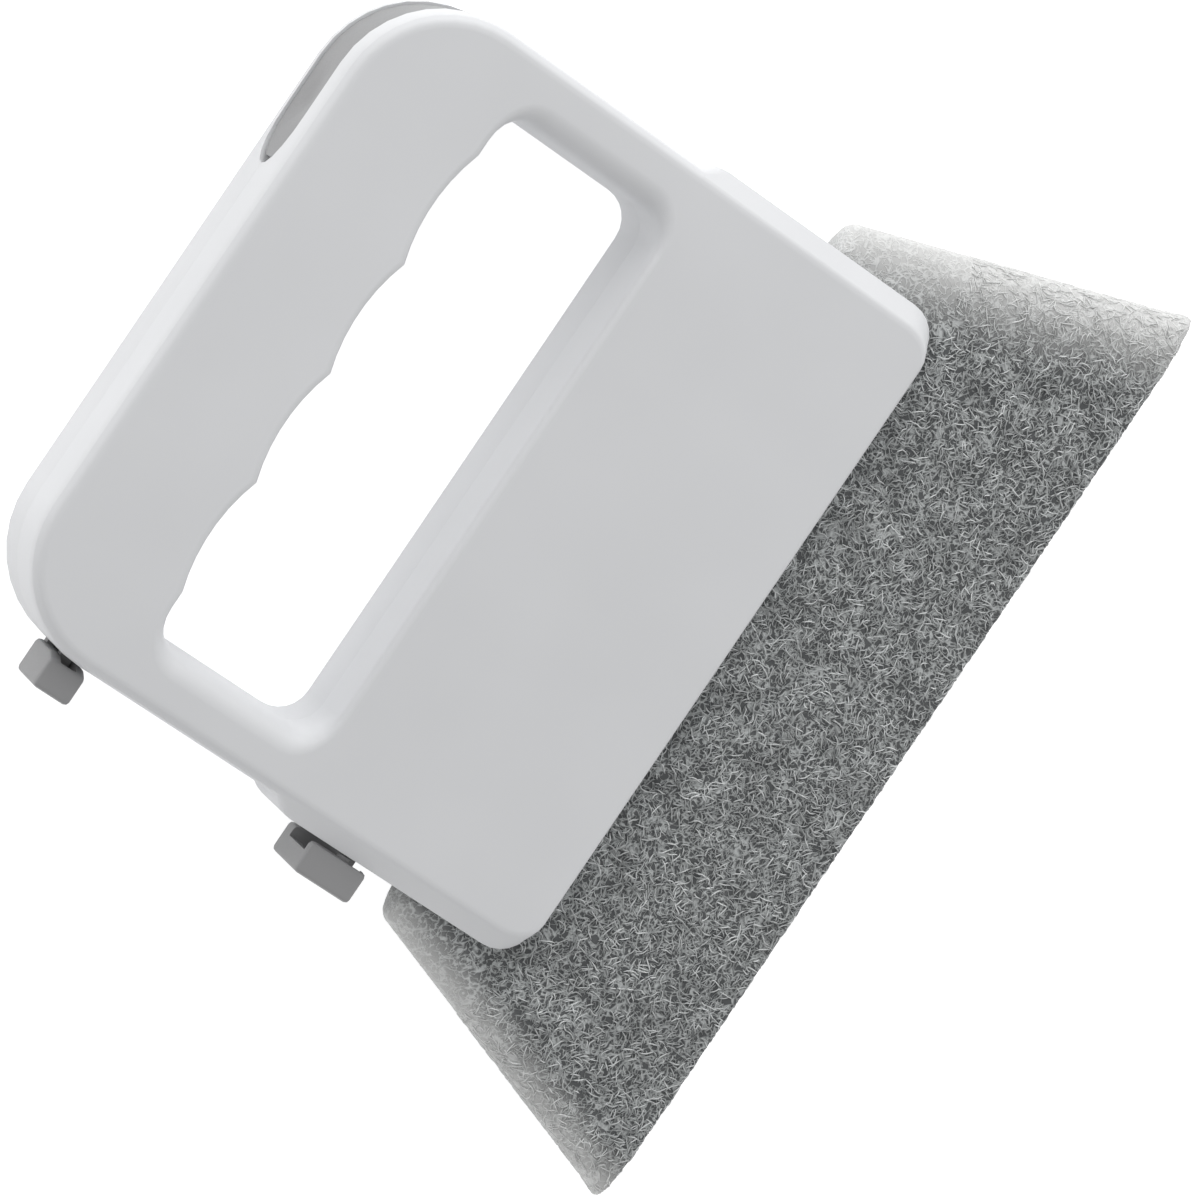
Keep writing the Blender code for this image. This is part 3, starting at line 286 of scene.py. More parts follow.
front_white = moulded_abs("white_abs_front", "#D7D8DA", "#D3D4D6", 0.58, 0.35, 0.004)
back_white = moulded_abs("white_abs_back", "#D5D6D8", "#D1D2D4", 0.60, 0.35, 0.004)
block_grey = moulded_abs("dark_grey_abs", "#909091", "#89898A", 0.55, 0.25, 0.010)
lever_grey = moulded_abs("mid_grey_abs", "#868687", "#7E7F80", 0.50, 0.25, 0.008)
frame_grey = moulded_abs("frame_grey_abs", "#9A9B9D", "#929496", 0.50, 0.25, 0.008)

# %% [markdown]
# The pins, screws and spring are turned or drawn steel with a thin bright zinc coat. Zinc is not a
# mirror: its tiny crystals blur what it reflects, and the coat is thicker here and thinner there,
# which shows as patches of gloss. One noise about 0.9 mm wide drives gloss and bump together.

# %% Zinc-plated steel
PATCH_WIDTH = 0.9 * MM
PATCH_DEPTH = 0.01 * MM
THICK_COAT = 0.08
THIN_COAT = 0.10


def plated_steel(name, colour, roughness):
    made, tree, output = new_material(name)
    place = add_node(tree, "ShaderNodeTexCoord").outputs["Object"]
    patches = add_node(tree, "ShaderNodeTexNoise", {"Scale": 1 / PATCH_WIDTH, "Detail": 4.0},
                       {"Vector": place})
    gloss = add_node(tree, "ShaderNodeMapRange",
                     {"From Min": NOISE_LOW, "From Max": NOISE_HIGH,
                      "To Min": roughness - THICK_COAT, "To Max": roughness + THIN_COAT},
                     {"Value": patches.outputs["Fac"]})
    bump = add_node(tree, "ShaderNodeBump", {"Strength": 0.2, "Distance": PATCH_DEPTH},
                    {"Height": patches.outputs["Fac"]})
    shader = add_node(tree, "ShaderNodeBsdfPrincipled",
                      {"Base Color": linear(colour), "Metallic": 1.0},
                      {"Roughness": gloss.outputs["Result"], "Normal": bump.outputs["Normal"]})
    tree.links.new(shader.outputs[0], output.inputs["Surface"])
    return made


zinc = plated_steel("zinc_plated_steel", "#C9CBCD", 0.32)
spring_wire = plated_steel("drawn_spring_wire", "#B4B6B9", 0.26)

# %% [markdown]
# The scouring pad is a web of curled nylon fibres, glued where they cross. Fibres that lie on top
# are pale, and the hollows between them are painted dark as shade. Near its slanted sides the pad
# is painted paler, most on the lever's side, where the strongest lamp stands: this is painted light.
# The next helper gives that painted light: highest on a slanted side, and falling to 0 some
# millimetres inside. It follows the pad's own trapezoid, read from the frame, so the painted band
# stays along the side from every view. The rows say which side it is, 1 or -1 along X, how wide the
# band is, and how pale it gets.

# %% Painted light near the pad's slanted sides
pad_low, pad_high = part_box("scouring_pad")
PAD_HEIGHT = pad_high.y - pad_low.y
PAD_HALF_BOTTOM = pad_high.x
PAD_HALF_TOP = 60.7 * MM
SIDE_SLOPE = (PAD_HALF_BOTTOM - PAD_HALF_TOP) / PAD_HEIGHT
# Painted light: each row paints one slanted side of the pad paler, as if lit there.
PAINTED_LIGHT_SIDES = ((1, 15 * MM, 0.75),
              (-1, 8 * MM, 0.66))


# The share of painted light near the slanted sides, 0 further inside.
def painted_side_light(tree, place):
    split = add_node(tree, "ShaderNodeSeparateXYZ", None, {0: place})
    lean = add_node(tree, "ShaderNodeMath", {1: SIDE_SLOPE}, {0: split.outputs["Y"]},
                    operation="MULTIPLY")
    edge = PAD_HALF_BOTTOM + SIDE_SLOPE * pad_low.y
    found = []
    for side, width, most in PAINTED_LIGHT_SIDES:
        outward = add_node(tree, "ShaderNodeMath", {1: side}, {0: split.outputs["X"]},
                           operation="MULTIPLY")
        total = add_node(tree, "ShaderNodeMath", None,
                         {0: outward.outputs[0], 1: lean.outputs[0]}, operation="ADD")
        pale = add_node(tree, "ShaderNodeMapRange",
                        {"From Min": edge - width, "From Max": edge, "To Max": most},
                        {"Value": total.outputs[0]}, interpolation_type="SMOOTHSTEP")
        found.append(pale.outputs["Result"])
    return add_node(tree, "ShaderNodeMath", None, {0: found[0], 1: found[1]},
                    operation="MAXIMUM").outputs[0]


print("pad leans", round(math.degrees(math.atan(SIDE_SLOPE)), 1), "degrees on each side")

# %% [markdown]
# The web is also thicker here and thinner there, in clouds about 5 mm wide, as can be seen when such
# a pad is held against the light. A second colour could be mixed in. Here the colour is scaled up
# and down by a noise pattern, which keeps the contrast between fibres and hollows.

# %% Thick and thin places of the web
CLOUD_WIDTH = 5 * MM
THIN_PLACE = 0.78
THICK_PLACE = 1.22


def web_density(tree, place, colour):
    clouds = add_node(tree, "ShaderNodeTexNoise", {"Scale": 1 / CLOUD_WIDTH, "Detail": 3.0},
                      {"Vector": place})
    factor = add_node(tree, "ShaderNodeMapRange",
                      {"From Min": NOISE_LOW, "From Max": NOISE_HIGH,
                       "To Min": THIN_PLACE, "To Max": THICK_PLACE},
                      {"Value": clouds.outputs["Fac"]})
    return add_node(tree, "ShaderNodeVectorMath", None,
                    {0: colour, "Scale": factor.outputs["Result"]}, operation="SCALE").outputs[0]


print("clouds of", round(CLOUD_WIDTH / MM), "mm")

# %% [markdown]
# Under the top fibres the web is too deep and fine to model fibre by fibre, so its material draws
# it. Each of three noise patterns leaves a thin line where it passes its middle value, and the lines
# cross as fibres do. Between the lines the colour is dark, painted shade for the depth of the web.
# Real fibres are about 0.1 mm thick. They are drawn about three times as wide, so that they show from
# this distance. The same lines lift the surface a little through the bump, which is calmer on the
# sides painted pale.

# %% Non-woven web
FIBRE_SPACINGS_MM = (1.9, 1.5, 1.2)
PATTERN_SHIFT = Vector((3.1, 1.7, 0.9))
NOISE_MIDDLE = 0.5
LINE_HALF_WIDTH = 0.055
WEB_RELIEF = 0.25 * MM

web_fibre, tree, output = new_material("nylon_web")
place = add_node(tree, "ShaderNodeTexCoord").outputs["Object"]
lines = []
for i, spacing_mm in enumerate(FIBRE_SPACINGS_MM):
    moved = add_node(tree, "ShaderNodeMapping", {"Location": i * PATTERN_SHIFT}, {"Vector": place})
    hills = add_node(tree, "ShaderNodeTexNoise",
                     {"Scale": 1 / (spacing_mm * MM), "Detail": 1.0, "Distortion": 0.4},
                     {"Vector": moved.outputs[0]})
    offset = add_node(tree, "ShaderNodeMath", {1: NOISE_MIDDLE}, {0: hills.outputs["Fac"]},
                      operation="SUBTRACT")
    size = add_node(tree, "ShaderNodeMath", None, {0: offset.outputs[0]}, operation="ABSOLUTE")
    line = add_node(tree, "ShaderNodeMapRange",
                    {"From Max": LINE_HALF_WIDTH, "To Min": 1.0, "To Max": 0.0},
                    {"Value": size.outputs[0]}, interpolation_type="SMOOTHSTEP")
    lines.append(line.outputs["Result"])
ridges = lines[0]
for line in lines[1:]:
    ridges = add_node(tree, "ShaderNodeMath", None, {0: ridges, 1: line},
                      operation="MAXIMUM").outputs[0]
# The dark end is painted shade in the hollows of the web, the pale end the fibres' own grey.
ramp = add_node(tree, "ShaderNodeValToRGB", None, {"Fac": ridges})
ramp.color_ramp.elements[0].color = linear("#4E5051")
ramp.color_ramp.elements[1].color = linear("#B4B7B7")
# Painted light: near the slanted sides the web's colour is mixed towards near-white.
pale = painted_side_light(tree, place)
toned = web_density(tree, place, ramp.outputs["Color"])
painted_light_mix = add_node(tree, "ShaderNodeMix", {"B": linear("#E4E4E3")}, {"Factor": pale, "A": toned},
                 data_type="RGBA")
calm = add_node(tree, "ShaderNodeMapRange", {"To Min": 0.9, "To Max": 0.3}, {"Value": pale})
bump = add_node(tree, "ShaderNodeBump", {"Distance": WEB_RELIEF},
                {"Height": ridges, "Strength": calm.outputs["Result"]})
shader = add_node(tree, "ShaderNodeBsdfPrincipled", {"Roughness": 0.85, "IOR": PLASTIC_IOR},
                  {"Base Color": painted_light_mix.outputs["Result"], "Normal": bump.outputs["Normal"]})
tree.links.new(shader.outputs[0], output.inputs["Surface"])

# %% [markdown]
# The fibres on top are modelled. Each has its own random grey, and one that lies lower is also
# painted darker, as painted shade, so that some are bright and some lie half hidden. Both are kept
# in its mesh as an attribute. The material reads it, and like the web is painted paler towards the
# slanted sides, as painted light.

# %% Single fibres
top_fibre, tree, output = new_material("nylon_fibre")
place = add_node(tree, "ShaderNodeTexCoord").outputs["Object"]
tint_and_shade = add_node(tree, "ShaderNodeAttribute", attribute_name="tint_and_shade")
# Low tints are partly a fibre's own darker grey and partly painted shade for fibres that lie low.
ramp = add_node(tree, "ShaderNodeValToRGB", None, {"Fac": tint_and_shade.outputs["Fac"]})
ramp.color_ramp.elements[0].color = linear("#848788")
ramp.color_ramp.elements[1].color = linear("#EDEFEF")
# Painted light: near the slanted sides the fibres' colour is mixed towards near-white.
pale = painted_side_light(tree, place)
toned = web_density(tree, place, ramp.outputs["Color"])
painted_light_mix = add_node(tree, "ShaderNodeMix", {"B": linear("#F0F0EF")}, {"Factor": pale, "A": toned},
                 data_type="RGBA")
shader = add_node(tree, "ShaderNodeBsdfPrincipled", {"Roughness": 0.6, "IOR": PLASTIC_IOR},
                  {"Base Color": painted_light_mix.outputs["Result"]})
tree.links.new(shader.outputs[0], output.inputs["Surface"])

# %% [markdown]
# Three small helpers are used by all the modelling below. An operator acts on all that is selected,
# so everything else is deselected first, and faces or edges are picked by their place or direction.
# Every finished piece rides on a body of the mechanism and stands for one of its solids. The angle
# tells how far two faces may lean apart and still be shaded as one smooth surface.

# %% Helpers for modelling
SMOOTH_BELOW = math.radians(38)
QUARTER_TURN = math.radians(90)


def select_only(*pieces):
    """Selects these pieces and nothing else, and makes the last one active."""
    bpy.ops.object.select_all(action="DESELECT")
    for piece in pieces:
        piece.select_set(True)
    bpy.context.view_layer.objects.active = pieces[-1]


def pick_faces(piece, wanted):
    """Goes to edit mode with the faces selected whose centre and normal pass a test."""
    bpy.ops.object.mode_set(mode="EDIT")
    bpy.ops.mesh.select_mode(type="FACE")
    bpy.ops.mesh.select_all(action="DESELECT")
    bpy.ops.object.mode_set(mode="OBJECT")
    for face in piece.data.polygons:
        face.select = wanted(face.center, face.normal)
    bpy.ops.object.mode_set(mode="EDIT")


def hand_over(piece, name, node, body, material):
    """Names a finished piece, gives it its finish and puts it in the place of a CAD node."""
    piece.name = piece.data.name = name
    piece.data.materials.clear()
    piece.data.materials.append(material)
    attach(piece, body)
    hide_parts(node)
    print(name, len(piece.data.polygons), "faces")
    return piece


# %% [markdown]
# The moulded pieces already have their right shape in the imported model, but as loose flat triangles,
# on which light would show every facet. They could be built anew, and then two shapes would have
# to agree. So each gets a finished copy: doubles are merged, and triangles in one plane become one
# face again. Sharp edges get the small radius that a mould leaves. The smooth shading is then
# weighted towards the large faces, so that these stay flat.

# %% Helpers for finished copies
DOUBLES_WITHIN = 0.001 * MM
ONE_PLANE = math.radians(0.8)
SAME_LEVEL = 0.01 * MM
SHARP_ABOVE = math.radians(40)


def merged_copy(node):
    """A copy of a CAD node as one clean mesh, tied to nothing."""
    select_only(nodes[node])
    bpy.ops.object.duplicate()
    piece = bpy.context.object
    piece.parent = None
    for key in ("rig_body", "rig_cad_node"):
        del piece[key]
    if piece.data.has_custom_normals:
        bpy.ops.mesh.customdata_custom_splitnormals_clear()
    bpy.ops.object.mode_set(mode="EDIT")
    bpy.ops.mesh.select_all(action="SELECT")
    bpy.ops.mesh.remove_doubles(threshold=DOUBLES_WITHIN)
    bpy.ops.mesh.dissolve_limited(angle_limit=ONE_PLANE)
    bpy.ops.object.mode_set(mode="OBJECT")
    return piece


def at_level(piece, edge, level):
    """Whether both ends of an edge lie at one level."""
    return all(abs(piece.data.vertices[i].co.z - level) < SAME_LEVEL for i in edge.vertices)


def round_sharp_edges(piece, radius, kept_level=None):
    """Rounds the sharp edges, apart from those at the kept level."""
    bpy.ops.object.mode_set(mode="EDIT")
    bpy.ops.mesh.select_mode(type="EDGE")
    bpy.ops.mesh.select_all(action="DESELECT")
    bpy.ops.mesh.edges_select_sharp(sharpness=SHARP_ABOVE)
    bpy.ops.object.mode_set(mode="OBJECT")
    weights = piece.data.attributes.new("bevel_weight_edge", "FLOAT", "EDGE")
    for edge in piece.data.edges:
        kept = kept_level is not None and at_level(piece, edge, kept_level)
        if edge.select and not kept:
            weights.data[edge.index].value = 1.0
    rounding = piece.modifiers.new("mould_radius", "BEVEL")
    rounding.width = radius
    rounding.segments = 2
    rounding.limit_method = "WEIGHT"
    bpy.ops.object.modifier_apply(modifier="mould_radius")


def smooth_with_flat_faces(piece):
    bpy.ops.object.shade_smooth_by_angle(angle=SMOOTH_BELOW)
    even = piece.modifiers.new("flat_faces_stay_flat", "WEIGHTED_NORMAL")
    even.keep_sharp = True
    bpy.ops.object.modifier_apply(modifier="flat_faces_stay_flat")


# %% [markdown]
# The grey pieces are finished in one loop. The blocks are thick and get a plain radius that the eye
# can see, and the thin leaves and the lever a smaller one. Each row gives the CAD node, the name of
# its finished copy, the body, the slot, the plastic and the radius in millimetres.

# %% The grey moulded pieces
GREY_PIECES = (
    ("inner_frame", "ring_frame", "rear_half", "frame_plastic", frame_grey, 0.10),
    ("upper_hinge_block", "upper_block", "rear_half", "block_plastic", block_grey, 0.20),
    ("lower_hinge_block", "lower_block", "rear_half", "block_plastic", block_grey, 0.20),
    ("upper_hinge_leaf", "upper_leaf", "front_half", "leaf_plastic", block_grey, 0.08),
    ("lower_hinge_leaf", "lower_leaf", "front_half", "leaf_plastic", block_grey, 0.08),
    ("release_lever", "corner_lever", "lever", "lever_plastic", lever_grey, 0.08))

for node, name, body, slot, plastic, radius_mm in GREY_PIECES:
    piece = merged_copy(node)
    round_sharp_edges(piece, radius_mm * MM)
    smooth_with_flat_faces(piece)
    hand_over(piece, name, node, body, plastic)

# %% [markdown]
# The two shells meet so closely that no line shows between them in the photograph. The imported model
# keeps them 0.3 mm apart, as its solids must not touch. Here the rim of each is drawn out towards
# the other until a hair of 0.04 mm is left, and its outer edge stays sharp instead of rounded.

# %% The two shells
PARTING = pad_low.z / 2 + pad_high.z / 2
HALF_CAD_GAP = 0.15 * MM
HALF_HAIR = 0.02 * MM
SHELL_RADIUS = 0.10 * MM


def shell(node, name, body, material, side):
    """side is 1 for the shell above the parting plane and -1 for the one below it."""
    rim = PARTING + side * HALF_CAD_GAP
    piece = merged_copy(node)
    round_sharp_edges(piece, SHELL_RADIUS, rim)
    moved = 0
    for vertex in piece.data.vertices:
        if abs(vertex.co.z - rim) < SAME_LEVEL:
            vertex.co.z = PARTING + side * HALF_HAIR
            moved += 1
    print(name, moved, "rim points drawn out")
    smooth_with_flat_faces(piece)
    return hand_over(piece, name, node, body, material)


shell("front_shell", "front_cover", "front_half", front_white, 1)
shell("rear_shell", "back_cover", "rear_half", back_white, -1)

# %% [markdown]
# The screws are pan-head screws with a cross recess and a coarse thread, as are usual for plastic.
# The head comes first. It starts as a low cylinder, whose top is inset and raised three times into a
# dome. The recess could be drawn by a bump, but light catches its walls, so two tapered bars cut it.

# %% Screw head
HEAD_RADIUS = 2.1 * MM
HEAD_HEIGHT = 1.4 * MM
DOME_INSET = 0.35 * MM
DOME_SHARES = (0.5, 0.3, 0.2)
RECESS_LENGTH = 2.4 * MM
RECESS_WIDTH = 0.5 * MM
RECESS_DEPTH = 0.75 * MM
RECESS_TAPER = 0.4


def apply_place(piece):
    """Moves a piece's place, turn and size into its mesh."""
    select_only(piece)
    bpy.ops.object.transform_apply(location=True, rotation=True, scale=True)


def screw_head():
    """A domed head whose underside is at level 0."""
    bpy.ops.mesh.primitive_cylinder_add(vertices=32, radius=HEAD_RADIUS, depth=HEAD_HEIGHT / 2,
                                        location=(0, 0, HEAD_HEIGHT / 4))
    head = bpy.context.object
    apply_place(head)
    pick_faces(head, lambda centre, normal: normal.z > 0.9)
    for share in DOME_SHARES:
        bpy.ops.mesh.inset(thickness=DOME_INSET)
        bpy.ops.transform.translate(value=(0, 0, share * HEAD_HEIGHT / 2))
    bpy.ops.object.mode_set(mode="OBJECT")
    for size_x, size_y in ((RECESS_LENGTH, RECESS_WIDTH), (RECESS_WIDTH, RECESS_LENGTH)):
        bpy.ops.mesh.primitive_cube_add(size=1, location=(0, 0, HEAD_HEIGHT))
        bar = bpy.context.object
        bar.scale = (size_x, size_y, 2 * RECESS_DEPTH)
        apply_place(bar)
        pick_faces(bar, lambda centre, normal: normal.z < -0.9)
        bpy.ops.transform.resize(value=(RECESS_TAPER, RECESS_TAPER, 1))
        bpy.ops.object.mode_set(mode="OBJECT")
        select_only(head)
        cut = head.modifiers.new("recess", "BOOLEAN")
        cut.operation = "DIFFERENCE"
        cut.solver = "EXACT"
        cut.object = bar
        bpy.ops.object.modifier_apply(modifier="recess")
        bpy.data.objects.remove(bar, do_unlink=True)
    return head


print("screw head", round(2 * HEAD_RADIUS / MM, 1), "mm wide")

# %% [markdown]
# Threads are often faked with a bump, but these screws lie open when the front half swings out, so
# their threads are real. The core is a cylinder with a narrower tip that reaches a little into the
# head. A three-cornered circle is stood upright beside it, and the Screw modifier winds it up.

# %% Screw shank
CORE_RADIUS = 0.78 * MM
CORE_IN_HEAD = 0.2 * MM
TIP_TAPER = 0.6
CREST_RADIUS = 1.08 * MM
THREAD_PITCH = 0.8 * MM
THREAD_SECTION = 0.26 * MM
THREAD_ABOVE_TIP = 0.9 * MM
UNTHREADED = 2.2 * MM


def screw_shank(length):
    """A core with a tapered tip, and a thread wound round it, below level 0."""
    bpy.ops.mesh.primitive_cylinder_add(vertices=24, radius=CORE_RADIUS, depth=length,
                                        location=(0, 0, CORE_IN_HEAD - length / 2))
    core = bpy.context.object
    apply_place(core)
    pick_faces(core, lambda centre, normal: normal.z < -0.9)
    bpy.ops.transform.resize(value=(TIP_TAPER, TIP_TAPER, 1))
    bpy.ops.object.mode_set(mode="OBJECT")
    bpy.ops.mesh.primitive_circle_add(vertices=3, radius=THREAD_SECTION, location=(0, 0, 0))
    thread = bpy.context.object
    thread.rotation_euler = (QUARTER_TURN, QUARTER_TURN, 0)
    apply_place(thread)
    thread.location = (CREST_RADIUS - THREAD_SECTION, 0, THREAD_ABOVE_TIP - length)
    apply_place(thread)
    wound = thread.modifiers.new("thread", "SCREW")
    wound.screw_offset = THREAD_PITCH
    wound.iterations = int((length - UNTHREADED) / THREAD_PITCH)
    wound.steps = 16
    wound.render_steps = 16
    bpy.ops.object.modifier_apply(modifier="thread")
    bpy.ops.object.mode_set(mode="EDIT")
    bpy.ops.mesh.select_all(action="SELECT")
    bpy.ops.mesh.fill_holes(sides=3)
    bpy.ops.mesh.normals_make_consistent(inside=False)
    bpy.ops.object.mode_set(mode="OBJECT")
    return core, thread


def pan_head_screw(length):
    pieces = (screw_head(), *screw_shank(length))
    select_only(*pieces)
    bpy.ops.object.join()
    bpy.ops.object.shade_smooth_by_angle(angle=SMOOTH_BELOW)
    return bpy.context.object


print("thread crest", round(2 * CREST_RADIUS / MM, 2), "mm wide")

# %% [markdown]
# Four screws hold the frame, two hold the hinge blocks, and two hold the leaves. The last two sit
# inside the front shell with their heads towards the back. One screw of each length is modelled,
# and then copied to its places.

# %% All eight screws
def place_screws(screw_nodes, name, body):
    """Models one screw to fit the first node, and puts a copy of it at each node."""
    low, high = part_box(screw_nodes[0])
    master = pan_head_screw(high.z - low.z - HEAD_HEIGHT)
    head_up = body == "rear_half"
    for i, node in enumerate(screw_nodes):
        low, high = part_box(node)
        select_only(master)
        bpy.ops.object.duplicate()
        screw = bpy.context.object
        screw.rotation_euler = (0 if head_up else math.pi, 0, 0)
        head_level = high.z - HEAD_HEIGHT if head_up else low.z + HEAD_HEIGHT
        screw.location = ((low.x + high.x) / 2, (low.y + high.y) / 2, head_level)
        apply_place(screw)
        hand_over(screw, f"{name}_{i + 1}", node, body, zinc)
    bpy.data.objects.remove(master, do_unlink=True)


place_screws([f"frame_screw_{i}" for i in (1, 2, 3, 4)], "long_screw", "rear_half")
place_screws([f"hinge_block_screw_{i}" for i in (1, 2)], "block_screw", "rear_half")
place_screws([f"hinge_leaf_screw_{i}" for i in (1, 2)], "leaf_screw", "front_half")

# %% [markdown]
# The hinge turns on two plain pins. Each is a cylinder along Y whose two end rims are bevelled, as
# a cut and tumbled pin has them.

# %% Hinge pins
PIN_BEVEL = 0.12 * MM
RIMS_ABOVE = math.radians(60)


def bevel_rims(piece, width):
    select_only(piece)
    bpy.ops.object.mode_set(mode="EDIT")
    bpy.ops.mesh.select_mode(type="EDGE")
    bpy.ops.mesh.select_all(action="DESELECT")
    bpy.ops.mesh.edges_select_sharp(sharpness=RIMS_ABOVE)
    bpy.ops.mesh.bevel(offset=width, segments=2)
    bpy.ops.object.mode_set(mode="OBJECT")
    bpy.ops.object.shade_smooth_by_angle(angle=SMOOTH_BELOW)


for which in ("upper", "lower"):
    low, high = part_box(which + "_hinge_pin")
    bpy.ops.mesh.primitive_cylinder_add(vertices=24, radius=(high.x - low.x) / 2,
                                        depth=high.y - low.y, location=(low + high) / 2,
                                        rotation=(QUARTER_TURN, 0, 0))
    pin = bpy.context.object
    apply_place(pin)
    bevel_rims(pin, PIN_BEVEL)
    hand_over(pin, which + "_pin", which + "_hinge_pin", "rear_half", zinc)

# %% [markdown]
# The lever turns on a headed pin. A second cylinder could be joined on for the head. Here the top of
# the first one is extruded in place, widened, and extruded again, so the pin is one closed skin.

# %% Lever pin
LEVER_PIN_RADIUS = 1.0 * MM
PIN_HEAD_HEIGHT = 0.9 * MM
PIN_HEAD_BEVEL = 0.2 * MM

low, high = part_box("lever_pin")
shank_length = high.z - low.z - PIN_HEAD_HEIGHT
middle = ((low.x + high.x) / 2, (low.y + high.y) / 2, low.z + shank_length / 2)
bpy.ops.mesh.primitive_cylinder_add(vertices=32, radius=LEVER_PIN_RADIUS, depth=shank_length,
                                    location=middle)
pin = bpy.context.object
apply_place(pin)
pick_faces(pin, lambda centre, normal: normal.z > 0.9)
bpy.ops.mesh.extrude_region_move()
wider = (high.x - low.x) / 2 / LEVER_PIN_RADIUS
bpy.ops.transform.resize(value=(wider, wider, 1))
bpy.ops.mesh.extrude_region_move(TRANSFORM_OT_translate={"value": (0, 0, PIN_HEAD_HEIGHT)})
bpy.ops.object.mode_set(mode="OBJECT")
bevel_rims(pin, PIN_HEAD_BEVEL)
hand_over(pin, "pivot_pin", "lever_pin", "rear_half", zinc)

# %% [markdown]
# The lever's return spring is a wire of 0.6 mm wound into six turns. A curve could follow the helix
# point by point. Here a circle, the wire's section, is wound about the Y axis by the Screw modifier
# and capped at both ends. The coil can't follow the lever as a rigid piece, so it rides on the rear
# half, with a mesh of its own.

# %% Return spring
SPRING_TURNS = 6
WIRE_RADIUS = 0.3 * MM
WIRE_SIDES = 12
STEPS_A_TURN = 24
WIRE_SMOOTH_BELOW = math.radians(50)

low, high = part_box("lever_spring")
coil_radius = (high.x - low.x) / 2 - WIRE_RADIUS
bpy.ops.mesh.primitive_circle_add(vertices=WIRE_SIDES, radius=WIRE_RADIUS,
                                  location=(coil_radius, 0, 0))
spring = bpy.context.object
apply_place(spring)
wound = spring.modifiers.new("coil", "SCREW")
wound.axis = "Y"
wound.screw_offset = (high.y - low.y - 2 * WIRE_RADIUS) / SPRING_TURNS
wound.iterations = SPRING_TURNS
wound.steps = STEPS_A_TURN
wound.render_steps = STEPS_A_TURN
bpy.ops.object.modifier_apply(modifier="coil")
bpy.ops.object.mode_set(mode="EDIT")
bpy.ops.mesh.select_all(action="SELECT")
bpy.ops.mesh.fill_holes(sides=WIRE_SIDES)
bpy.ops.mesh.normals_make_consistent(inside=False)
bpy.ops.object.mode_set(mode="OBJECT")
spring.location = ((low.x + high.x) / 2, low.y + WIRE_RADIUS, (low.z + high.z) / 2)
apply_place(spring)
bpy.ops.object.shade_smooth_by_angle(angle=WIRE_SMOOTH_BELOW)
hand_over(spring, "return_spring", "lever_spring", "rear_half", spring_wire)
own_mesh(spring)

# %% [markdown]
# The pad is one soft sheet with no cover and no seam, so there is nothing for cloth to swell or
# pull on, and a cloth simulation would add nothing. What makes it look soft is its uneven loft. A
# copy of the solid is rebuilt from small even faces, and a cloud pattern moves its two broad faces,
# mostly inwards and by a third of a millimetre at most. A vertex group leaves the cut sides out, so
# that they stay crisp.

# %% Scouring pad
PAD_VOXEL = 0.55 * MM
LOFT_WIDTH = 4.5 * MM
LOFT_STRENGTH = 0.5 * MM
LOFT_LEVEL = 0.65

pad = merged_copy("scouring_pad")
even = pad.modifiers.new("even_mesh", "REMESH")
even.mode = "VOXEL"
even.voxel_size = PAD_VOXEL
bpy.ops.object.modifier_apply(modifier="even_mesh")
clouds = bpy.data.textures.new("loft", "CLOUDS")
clouds.noise_scale = LOFT_WIDTH
loft = pad.modifiers.new("loft", "DISPLACE")
loft.texture = clouds
loft.strength = LOFT_STRENGTH
loft.mid_level = LOFT_LEVEL
broad_faces = pad.vertex_groups.new(name="broad_faces")
for vertex in pad.data.vertices:
    broad_faces.add([vertex.index], abs(vertex.normal.z) ** 4, "REPLACE")
loft.vertex_group = "broad_faces"
bpy.ops.object.modifier_apply(modifier="loft")
print("pad of", len(pad.data.vertices), "points")

# %% [markdown]
# Rebuilding blunts the pad's two lower tips. A finer voxel would cost many more faces all over the
# pad. Instead the points near each tip are drawn towards a sharp one, the more the nearer they are.

# %% Sharp tips and finish of the pad
TIP_BEYOND = 0.5 * MM
TIP_REACH = 5 * MM
TIP_PULL = 0.9

tip_x = PAD_HALF_BOTTOM + TIP_BEYOND
for vertex in pad.data.vertices:
    tip = Vector((math.copysign(tip_x, vertex.co.x), pad_low.y, vertex.co.z))
    away = tip - vertex.co
    vertex.co += away * TIP_PULL * max(0, 1 - away.length / TIP_REACH)
bpy.ops.object.shade_smooth()
hand_over(pad, "fibre_web", "scouring_pad", "rear_half", web_fibre)

# %% [markdown]
# On the web lie the fibres that catch the light. A particle system could grow hairs, but these lie
# flat and cross each other. So each fibre starts on a random face of the pad's skin and walks along
# it in short steps, turning a little as it goes. First the skin is prepared: a tree of its triangles
# finds the nearest place on it quickly, and a face's area is the chance that a fibre starts there.

# %% Skin of the pad
mesh = pad.data
mesh.calc_loop_triangles()
corners = [vertex.co for vertex in mesh.vertices]
skin = BVHTree.FromPolygons(corners, [triangle.vertices for triangle in mesh.loop_triangles])
centres = np.array([face.center for face in mesh.polygons])
areas = np.array([face.area for face in mesh.polygons])
print("skin", len(areas), "faces,", round(areas.sum() / MM ** 2), "square mm")

# %% [markdown]
# Most fibres head along one of the two directions in which the web was laid, as on the real sheet.
# Each keeps a part of its last turn, so it curls rather than zigzags, and it lies at its own height
# with a small wave. One that comes under the shells, whose edge lies 33.4 mm above the pad's lower
# edge, turns back.

# %% Walk of one fibre
FIBRE_POINTS = 5
FIBRE_STEP_MM = (0.22, 0.60)
FIBRE_LIFT_MM = (0.02, 0.22)
WAVE_HEIGHT = 0.05 * MM
WAVE_A_STEP = 1.3
LAID_DIRECTIONS = (math.radians(34), math.radians(124))
LAID_SHARE = 0.7
LAID_SPREAD = 0.40
FIRST_TURN = 0.10
TURN_KEPT = 0.3
NEW_TURN = 0.28
SHELL_EDGE = pad_low.y + 33.4 * MM


